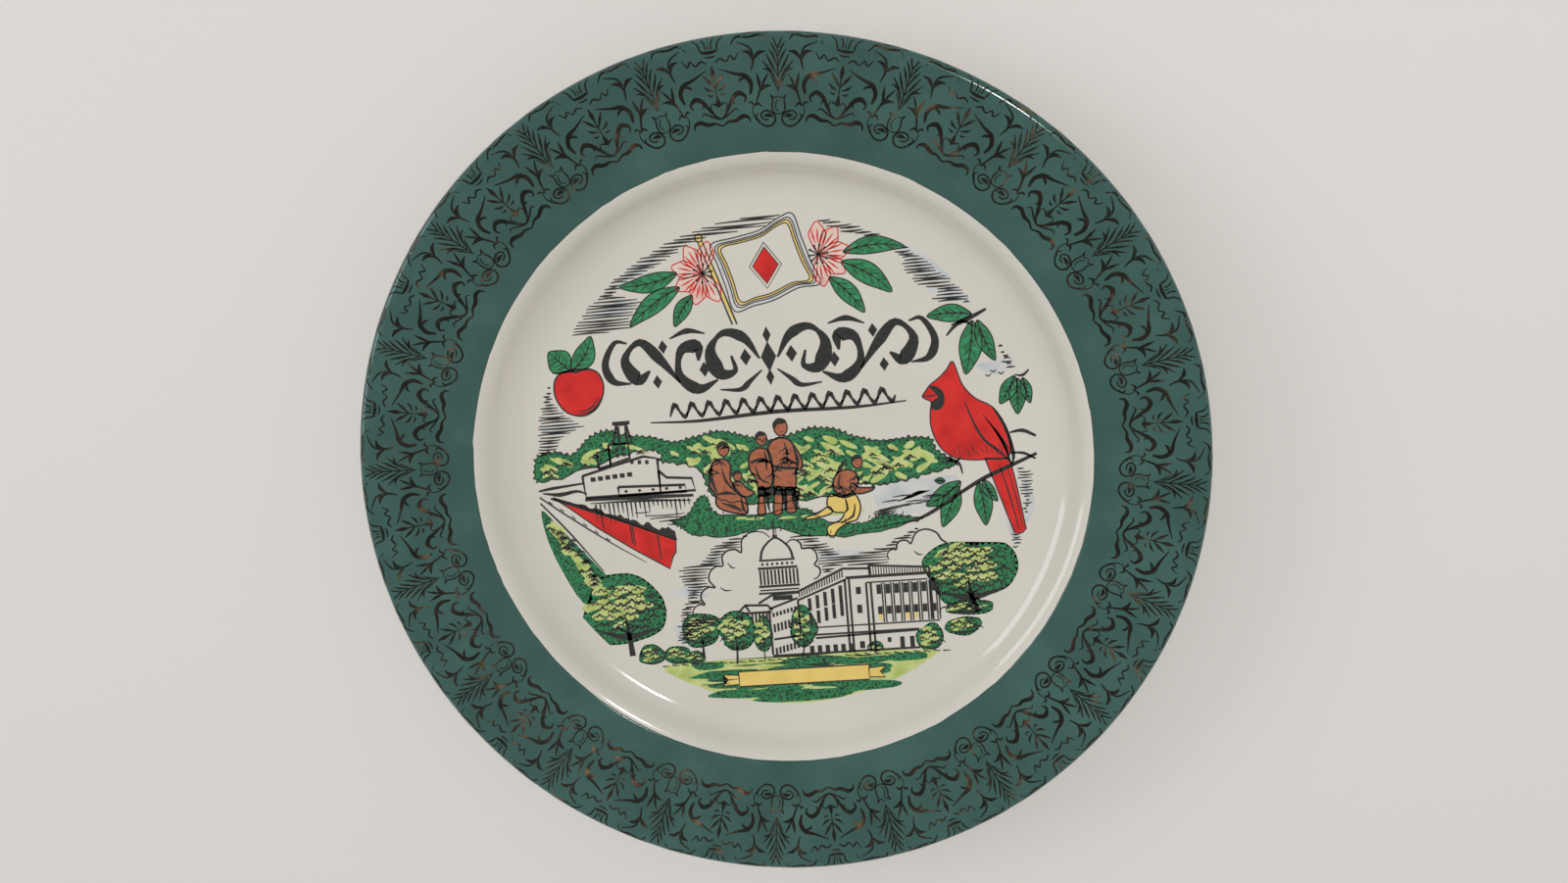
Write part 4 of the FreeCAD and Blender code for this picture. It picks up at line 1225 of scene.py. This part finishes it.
# the bird: mask, wing and tail feathers, feet, and the branches round it
edge(closed_line(bird, 3), 0.4)
edge(tail, 0.4)
mask = [(0.602, 0.283), (0.625, 0.284), (0.655, 0.258), (0.656, 0.215), (0.636, 0.190), (0.606, 0.196),
        (0.607, 0.223),
        (0.632, 0.240), (0.618, 0.262)]
fill(key_solid, closed_line(mask, 3), key_order)
line([(0.576, 0.249), (0.605, 0.246), (0.63, 0.252)], (0.3, 0.5, 0.3))
wing = [(0.735, 0.215), (0.76, 0.14), (0.80, 0.06), (0.855, 0.01), (0.905, -0.045)]
line(wing, (0.3, 0.7, 0.9, 0.5))
line([(0.84, 0.185), (0.885, 0.10), (0.91, 0.0), (0.905, -0.045)], (0.4, 1.0, 1.2, 0.4))
for i in range(7):
    share = i / 6
    line([(0.80 + 0.05 * share, 0.16 - 0.07 * share), (0.85 + 0.03 * share, 0.09 - 0.07 * share),
          (0.895, 0.02 - 0.055 * share)], (0.2, 0.6, 0.2))
for i in range(12):
    x = 0.66 + 0.018 * i
    line([(x, 0.015 + 0.012 * (i % 3)), (x + 0.012, -0.004 + 0.010 * (i % 2))], (0.3, 0.2), 1)
line([(0.855, -0.05), (0.89, -0.18), (0.918, -0.31)], (0.3, 0.5, 0.3))
line([(0.885, -0.06), (0.912, -0.18), (0.932, -0.30)], (0.2, 0.4, 0.2))
for shift in (0.0, 0.03):
    line([(0.675 + shift, -0.005), (0.655 + shift, -0.02), (0.62 + shift, -0.012)], (0.6, 0.8, 0.3))
line([(0.615, 0.0), (0.67, -0.01), (0.70, -0.03), (0.71, -0.07)], (0.4, 1.0, 0.4))
line([(0.46, -0.255), (0.54, -0.235), (0.61, -0.20), (0.70, -0.145), (0.79, -0.095), (0.90, -0.05),
      (1.0, -0.01)],
     (0.5, 1.2, 1.1, 1.4, 0.9))
line([(0.90, 0.08), (0.95, 0.085), (1.0, 0.06)], (0.5, 1.2, 0.8))
line([(0.90, 0.0), (0.95, -0.005), (0.995, -0.03)], (0.5, 0.9, 0.6))
line([(0.68, 0.475), (0.72, 0.515), (0.78, 0.54), (0.835, 0.565)], (0.5, 1.6, 0.8))
line([(0.70, 0.515), (0.75, 0.525), (0.79, 0.50)], (0.4, 1.0, 0.4))
line([(0.985, 0.32), (0.96, 0.30), (0.93, 0.305)], (0.5, 0.9, 0.3))
for x, y in ((0.83, 0.31), (0.85, 0.325), (0.88, 0.315)):
    line([(x - 0.012, y + 0.005), (x, y - 0.003), (x + 0.012, y + 0.006)], (0.2, 0.5, 0.2))


def billows(places):
    """Round billows out to the left of a path, as a cloud's edge."""
    edge_line = []
    for start, end in zip(places, places[1:]):
        a, b = Vector(start), Vector(end)
        run = b - a
        out = Vector((-run.y, run.x)) * 0.42
        edge_line += [a, a + run * 0.2 + out * 0.8, a + run * 0.55 + out, a + run * 0.88 + out * 0.6]
    return edge_line + [Vector(places[-1])]


clouds = [
    billows([(-0.40, -0.60), (-0.36, -0.54), (-0.31, -0.47), (-0.27, -0.38), (-0.19, -0.33),
             (-0.07, -0.275)]),
    billows([(-0.01, -0.31), (0.055, -0.33), (0.10, -0.40), (0.09, -0.46)]),
    billows([(0.40, -0.40), (0.43, -0.36), (0.49, -0.34), (0.61, -0.33), (0.60, -0.40)]),
]
for shape in clouds:
    line(shape, (0.3, 0.6, 0.5, 0.6, 0.3))
line([(-0.25, -0.37), (-0.235, -0.39), (-0.22, -0.392)], (0.2, 0.5, 0.2))
line([(-0.29, -0.47), (-0.27, -0.485), (-0.245, -0.485)], (0.2, 0.5, 0.2))
line([(0.50, -0.37), (0.515, -0.385), (0.535, -0.388)], (0.2, 0.5, 0.2))


def hatched(area, keep_out, pitch=0.0118, heaviest=0.80, ragged=0.018):
    """Near-level pen strokes over an area, broken where something stands before them."""
    left = min(x for x, y in area)
    right = max(x for x, y in area)
    top = max(y for x, y in area)
    count = int((top - min(y for x, y in area)) / pitch)
    for i in range(count):
        y = top - pitch * (i + 0.5)
        start = None
        for step in range(int((right - left) / 0.008) + 2):
            x = left + 0.008 * step
            free = inside((x, y), area) and not any(inside((x, y), shape) for shape in keep_out)
            if free and start is None:
                start = x + draw.uniform(0, ragged)
            if not free and start is not None:
                end = x - draw.uniform(0, ragged)
                if end - start > 0.012:
                    dip = draw.uniform(-0.004, 0.004)
                    line([(start, y), ((start + end) / 2, y + dip), (end, y)],
                         (0.3, draw.uniform(0.7, 1.0) * heaviest, 0.25), 2)
                start = None


def on_edge(first, last, reach=0.99):
    """Points along the picture's round edge."""
    return [(reach * math.cos(math.radians(first + (last - first) * i / 8)),
             reach * math.sin(math.radians(first + (last - first) * i / 8))) for i in range(9)]


hall_mass = [(-0.22, -0.80), (-0.22, -0.56), (-0.13, -0.50), (-0.12, -0.36), (-0.05, -0.26), (0.02, -0.36),
             (0.03, -0.50),
             (0.21, -0.41), (0.57, -0.43), (0.58, -0.80)]
cloud_shapes = [shape + [Vector(place) for place in closing] for shape, closing in zip(
    clouds, ([(-0.05, -0.60)], [(0.0, -0.50)], [(0.50, -0.44)]))]
flag_shape = [tuple(place) for place in flag_outline]
flowers = [flag_shape] + [closed_line(shape, 1) for shape in petals]
flowers += [closed_line(leaf_outline(*leaf), 1) for leaf in leaves[:6]]
hatched([(-0.55, 0.60), (-0.42, 0.65), (-0.46, 0.70), (-0.60, 0.74), (-0.48, 0.80), (-0.36, 0.86),
         (-0.29, 0.90),
         (-0.20, 0.925), (0.10, 0.955)] + on_edge(82, 144), flowers)
hatched([(0.20, 0.93), (0.36, 0.885), (0.46, 0.845), (0.52, 0.78), (0.54, 0.72), (0.57, 0.68), (0.66, 0.65),
         (0.62, 0.61), (0.72, 0.60)] + on_edge(36, 78), flowers)
hatched([(-0.885, 0.45), (-0.885, 0.34), (-0.82, 0.265), (-0.76, 0.235), (-0.84, 0.20), (-0.88, 0.17),
         (-0.91, 0.13)]
        + on_edge(174, 153), [])
hatched([(0.875, 0.36), (0.90, 0.325)] + on_edge(19, 30), [])
hatched([(0.87, -0.06), (0.88, -0.30), (0.87, -0.40)] + on_edge(-25, -4), [tail], 0.0125, 0.6)
hatched([(-0.46, -0.38), (-0.38, -0.37), (-0.30, -0.29), (-0.18, -0.255), (-0.10, -0.262), (-0.10, -0.60),
         (-0.38, -0.62),
         (-0.44, -0.71), (-0.50, -0.69), (-0.47, -0.56), (-0.43, -0.50), (-0.45, -0.44)],
         cloud_shapes[:1] + [hall_mass])
hatched([(0.0, -0.275), (0.10, -0.275), (0.16, -0.32), (0.22, -0.37), (0.36, -0.345), (0.50, -0.275),
         (0.58, -0.29), (0.62, -0.31),
         (0.50, -0.33), (0.42, -0.37), (0.38, -0.43), (0.16, -0.47), (0.05, -0.47)],
         cloud_shapes[1:] + [hall_mass])
for i in range(12):
    y = -0.145 - 0.006 * i
    x = draw.uniform(0.34, 0.56)
    line([(x, y), (x + 0.04, y + 0.004), (x + 0.09, y + 0.004)], (0.2, 0.5, 0.2), 2)

# the hall: a plain dome on a drum, a low wing, and a long columned block
dome = [(-0.115, -0.365), (-0.107, -0.33), (-0.085, -0.30), (-0.05, -0.278), (-0.015, -0.30),
        (0.007, -0.33), (0.015, -0.365)]
line(dome, (0.8, 0.6, 0.8))
for x0, y0, x1, y1 in ((-0.060, -0.280, -0.040, -0.266), (-0.056, -0.266, -0.050, -0.240),
                       (-0.045, -0.262, -0.042, -0.240),
                       (-0.060, -0.242, -0.040, -0.236), (-0.053, -0.236, -0.047, -0.205),
                       (-0.122, -0.374, 0.022, -0.366),
                       (-0.130, -0.408, 0.030, -0.398), (-0.132, -0.484, 0.034, -0.474),
                       (-0.128, -0.498, 0.030, -0.492),
                       (-0.135, -0.512, 0.032, -0.504), (-0.08, -0.540, 0.0, -0.520),
                       (-0.215, -0.592, -0.09, -0.582),
                       (0.30, -0.470, 0.555, -0.458), (0.30, -0.492, 0.545, -0.486),
                       (0.22, -0.470, 0.31, -0.458),
                       (0.08, -0.668, 0.585, -0.662), (0.08, -0.700, 0.50, -0.692)):
    box(x0, y0, x1, y1)
for i in range(7):
    fill(key_solid, oval(-0.110 + 0.020 * i, -0.386, 0.010, 0.014, 6), key_order)
for i in range(11):
    box(-0.126 + 0.0150 * i, -0.472, -0.118 + 0.0150 * i, -0.410)
for places in ([(-0.225, -0.58), (-0.195, -0.553), (-0.105, -0.558), (-0.085, -0.58)],
               [(-0.195, -0.555), (-0.18, -0.58)],
               [(-0.14, -0.548), (-0.08, -0.515), (0.03, -0.512)], [(-0.10, -0.575), (0.02, -0.535)],
               [(-0.215, -0.59), (-0.215, -0.62)],
               [(0.02, -0.510), (0.21, -0.425), (0.315, -0.430)], [(0.02, -0.545), (0.22, -0.470)],
               [(0.315, -0.418), (0.555, -0.440)], [(0.315, -0.418), (0.318, -0.47)],
               [(0.555, -0.44), (0.56, -0.66)],
               [(0.02, -0.545), (0.02, -0.69)], [(0.215, -0.47), (0.215, -0.78)],
               [(0.232, -0.47), (0.232, -0.78)],
               [(0.300, -0.49), (0.300, -0.78)], [(0.318, -0.49), (0.320, -0.78)],
               [(-0.10, -0.58), (-0.10, -0.77)],
               [(-0.09, -0.705), (0.02, -0.695)], [(0.08, -0.71), (0.50, -0.70)],
               [(-0.10, -0.775), (0.50, -0.775)]):
    line(places, (0.7, 0.8, 0.7), 1)
for i in range(18):
    x = 0.026 + 0.0105 * i
    box(x, -0.535 + 0.40 * (x - 0.02), x + 0.005, -0.512 + 0.43 * (x - 0.02))
for i in range(22):
    x = 0.32 + 0.0105 * i
    box(x, -0.458, x + 0.004, -0.424 - 0.09 * (x - 0.32))
for i in range(5):  # windows of the long side, then of the corner and the front between its columns
    x = 0.060 + 0.032 * i
    for low, high in ((-0.592, -0.540), (-0.655, -0.605)):
        box(x, low + 0.25 * (x - 0.06), x + 0.014, high + 0.36 * (x - 0.06))
for x0, y0, x1, y1 in ((0.257, -0.535, 0.277, -0.505), (0.257, -0.615, 0.277, -0.580),
                       (0.257, -0.765, 0.277, -0.735),
                       (0.37, -0.745, 0.385, -0.725), (0.42, -0.775, 0.438, -0.725),
                       (0.46, -0.775, 0.478, -0.725)):
    box(x0, y0, x1, y1)
for i in range(7):
    x = 0.340 + 0.036 * i
    box(x, -0.540, x + 0.018, -0.500)
    box(x, -0.625, x + 0.018, -0.592)
    for side in (0.0, 0.010):
        line([(x + 0.022 + side, -0.495), (x + 0.022 + side, -0.660)], (0.45, 0.45), 1)
for i in range(6):
    box(0.052 + 0.032 * i, -0.772, 0.070 + 0.032 * i, -0.742)
for i in range(7):
    x = -0.088 + 0.015 * i
    for low, high in ((-0.610, -0.592), (-0.675, -0.640), (-0.770, -0.742)):
        rise = 0.25 * (x + 0.088)
        box(x, low + rise, x + 0.009, high + rise)
for i in range(5):
    box(-0.175 + 0.015 * i, -0.63, -0.167 + 0.015 * i, -0.592)

# the works on the river bank, its tower and wharf, the road and the barge
for shape in ([(-0.80, 0.03), (-0.66, 0.065), (-0.545, 0.092), (-0.49, 0.08), (-0.49, -0.06),
               (-0.795, -0.06)],
              [(-0.73, 0.055), (-0.73, 0.12), (-0.68, 0.13), (-0.68, 0.068)],
              [(-0.68, 0.15), (-0.68, 0.07), (-0.60, 0.09), (-0.60, 0.15)],
              [(-0.66, 0.15), (-0.64, 0.225), (-0.60, 0.225), (-0.585, 0.15)],
              [(-0.49, 0.03), (-0.46, 0.0), (-0.36, -0.01), (-0.35, -0.06), (-0.49, -0.06)],
              [(-0.66, -0.025), (-0.39, -0.035), (-0.385, -0.062), (-0.66, -0.062)]):
    edge(shape, 0.85)
box(-0.655, 0.225, -0.585, 0.24)
box(-0.64, 0.15, -0.628, 0.22)
box(-0.608, 0.15, -0.598, 0.22)
for x, y in ((-0.655, 0.118), (-0.63, 0.122), (-0.60, 0.065), (-0.57, 0.062), (-0.54, 0.06),
             (-0.655, 0.095), (-0.63, 0.098)):
    box(x, y, x + 0.014, y + 0.016)
for i in range(6):
    box(-0.768 + 0.030 * i, 0.004 + 0.002 * i, -0.748 + 0.030 * i, 0.022 + 0.002 * i)
for i in range(5):
    fill(key_solid, oval(-0.63 + 0.055 * i, -0.045, 0.014, 0.012, 8), key_order)
line([(-0.80, -0.068), (-0.60, -0.072), (-0.36, -0.080)], (1.0, 1.5, 0.9))
line([(-0.78, -0.085), (-0.55, -0.088), (-0.37, -0.10)], (0.3, 0.9, 0.3))
for i in range(22):
    x = -0.76 + 0.018 * i
    drop = draw.uniform(0.02, 0.085)
    line([(x, -0.09), (x + 0.002, -0.09 - drop)], (0.6, 0.2), 1)
hatched([(-0.62, -0.13), (-0.40, -0.15), (-0.41, -0.21), (-0.48, -0.20)], [], 0.014, 0.5)
line([(-0.985, -0.02), (-0.93, -0.012), (-0.80, 0.0)], (0.6, 1.0, 0.6))
line([(-0.97, -0.03), (-0.90, -0.04), (-0.83, -0.03), (-0.79, -0.045)], (0.4, 1.4, 0.9, 0.4))
line([(-0.985, -0.045), (-0.88, -0.13), (-0.72, -0.25), (-0.58, -0.345)], (0.5, 0.5, 0.2))
line([(-0.985, -0.07), (-0.88, -0.20), (-0.76, -0.37)], (0.5, 0.6, 0.3))
for i in range(6):
    share = i / 6
    line([(-0.95 + 0.26 * share, -0.065 - 0.20 * share), (-0.935 + 0.26 * share, -0.078 - 0.20 * share)],
         (0.4, 0.3), 1)
heap = []
for i in range(40):  # coal heaped along the barge
    share = i / 39
    heap.append((-0.94 + 0.49 * share, -0.045 - 0.18 * share + (0.004 + 0.012 * share) * draw.uniform(-1,
                                                                                                      1)))
fill(key_solid, heap + [(-0.445, -0.262), (-0.70, -0.155), (-0.94, -0.058)], key_order)
for share in (0.35, 0.6, 0.62, 0.84):
    x = -0.90 + 0.45 * share
    line([(x, -0.065 - 0.20 * share), (x + 0.004, -0.085 - 0.30 * share)], (0.5, 0.4), 1)

# the travellers: plain faces under dark hair, folds in the coats, belts and boots
for (x, y), size, shapes in travellers:
    for shape in shapes:
        edge(closed_line(shape, 3), 0.6)
    edge(oval(x, y, size, size * 1.25, 14), 0.45)
    hair = [(x - 0.52 * size, y - 0.15 * size), (x - 0.55 * size, y + 0.35 * size),
            (x - 0.1 * size, y + 0.72 * size),
            (x + 0.45 * size, y + 0.48 * size), (x + 0.3 * size, y + 0.26 * size),
            (x - 0.2 * size, y + 0.22 * size)]
    fill(key_solid, closed_line(hair, 2), key_order)
    for side in (-1, 1):
        fill(key_solid, oval(x + (side * 0.16 + 0.06) * size, y + 0.04 * size, 0.10 * size, 0.08 * size,
                             6), key_order)
    line([(x - 0.08 * size, y - 0.3 * size), (x + 0.20 * size, y - 0.3 * size)], (0.15, 0.22), 1)
for places, widths in (
    ([(-0.272, 0.04), (-0.282, -0.02), (-0.262, -0.08)], (0.3, 1.3, 0.4)),
    ([(-0.235, 0.02), (-0.225, -0.03), (-0.19, -0.08)], (0.2, 0.9, 0.3)),
    ([(-0.265, -0.085), (-0.225, -0.08), (-0.19, -0.09)], (0.5, 1.2, 0.4)),
    ([(-0.25, -0.12), (-0.20, -0.14), (-0.17, -0.16)], (0.3, 1.2, 0.4)),
    ([(-0.17, -0.10), (-0.165, -0.15), (-0.15, -0.168)], (0.3, 1.0, 0.3)),
    ([(-0.118, 0.035), (-0.08, 0.045), (-0.04, 0.03)], (0.8, 1.2, 0.8)),
    ([(-0.10, 0.02), (-0.09, -0.03), (-0.05, -0.055)], (0.3, 0.9, 0.3)),
    ([(-0.06, 0.08), (-0.055, 0.04), (-0.06, 0.0)], (0.3, 0.9, 0.3)),
    ([(-0.10, -0.088), (-0.03, -0.085), (0.05, -0.095)], (3.0, 3.0, 3.0)),
    ([(-0.032, 0.015), (0.01, 0.005), (0.06, 0.0)], (0.9, 1.1, 0.9)),
    ([(0.055, 0.09), (0.068, 0.03), (0.06, -0.02)], (0.3, 1.2, 0.3)),
    ([(0.02, 0.11), (0.03, 0.06), (0.025, 0.02)], (0.2, 0.7, 0.2)),
    ([(0.055, -0.09), (0.05, -0.13), (0.05, -0.17)], (2.2, 1.4, 0.6)),
    ([(-0.06, -0.09), (-0.065, -0.13), (-0.06, -0.17)], (1.6, 1.0, 0.4)),
    ([(0.0, -0.10), (0.004, -0.14), (0.0, -0.17)], (1.4, 0.8, 0.4)),
    ([(0.23, -0.04), (0.222, -0.08), (0.245, -0.115)], (0.3, 0.8, 0.3)),
    ([(0.195, -0.115), (0.24, -0.13), (0.285, -0.12)], (0.8, 1.2, 0.8)),
    ([(0.245, -0.14), (0.25, -0.18), (0.235, -0.195)], (0.5, 0.8, 0.3)),
    ([(0.28, -0.16), (0.27, -0.21), (0.22, -0.235)], (0.3, 0.8, 0.3)),
    ([(0.26, 0.02), (0.235, -0.01), (0.215, -0.04)], (0.3, 1.4, 0.3)),
):
    line(places, widths, 2)
for shape in leggings:
    edge(closed_line(shape, 3), 0.5)


# grass, scalloped foliage, wooded edges and trunks
def scallop(x, y, width, weight):
    """Short row of leaf bumps drawn with the pen."""
    places = []
    for i in range(13):
        rise = 0.16 * width * abs(math.sin(math.pi * i / 4))
        arch = 0.10 * width * math.cos(math.pi * i / 6)
        places.append((x + width * (i / 12 - 0.5), y + rise - arch))
    line(places, (0.2, weight, 0.2), 1)


edge(hill_edge, 0.45)
edge(mound_edge, 0.35)
for x, y in clearings[::2]:
    scallop(x, y - 0.018, draw.uniform(0.03, 0.06), draw.uniform(0.5, 0.9))
for (x, y), width, height, foot, clumps in trees:
    count = round(1.4 * clumps) if foot else clumps
    for i in range(count):
        turn = 2.4 * i
        reach = math.sqrt((i + 0.5) / count) * 0.86
        place = (x + reach * width / 2 * math.cos(turn), y + reach * height / 2 * math.sin(turn))
        scallop(*place, draw.uniform(0.9, 1.3) * width / math.sqrt(count), draw.uniform(0.5, 0.9))
    line([(x - 0.42 * width, y - 0.32 * height), (x, y - 0.47 * height),
          (x + 0.42 * width, y - 0.32 * height)], (0.3, 7 * width, 0.3))
for i in range(24):
    share = draw.uniform(0.0, 0.95)
    scallop(-0.955 + 0.17 * share + draw.uniform(-0.01, 0.05), -0.18 - 0.29 * share, 0.04,
            draw.uniform(0.5, 1.1))
for i in range(120):
    place = (draw.uniform(-0.45, 0.52), draw.uniform(-0.29, -0.15))
    if inside(place, mound):
        line([place, (place[0] + 0.004, place[1] + 0.014)], (0.4, 0.15), 1)
for i in range(26):
    x = draw.uniform(-0.50, 0.50)
    y = draw.uniform(-0.95, -0.79)
    if math.hypot(x + 0.1, y) < 0.95 and not (-0.32 < x < 0.35 and -0.91 < y < -0.83):
        line([(x, y), (x + 0.06, y - 0.003), (x + 0.12, y)], (0.15, 0.5, 0.15), 2)
for (x, y), width, height, foot, clumps in trees:
    if foot:
        base = y - 0.42 * height
        stout = 6 * width
        line([(foot[0], foot[1]), (x, base), (x - 0.02 * width, base + 0.3 * height)],
             (stout, 0.7 * stout, 0.3))
        for side in (-1, 1):
            line([(x, base), (x + side * 0.16 * width, base + 0.16 * height)], (0.4 * stout, 0.2), 1)
for i in range(30):
    x = -0.56 + 1.15 * i / 29
    line([(x, -0.79 + draw.uniform(-0.004, 0.004)), (x + 0.03, -0.795)], (0.5, 0.2), 1)
black_ink = ink("black_ink", [(0.010, 0.011, 0.010), (0.022, 0.023, 0.021)], 700.0)
printed_piece("key_screen", key_solid, black_ink, "key_print")
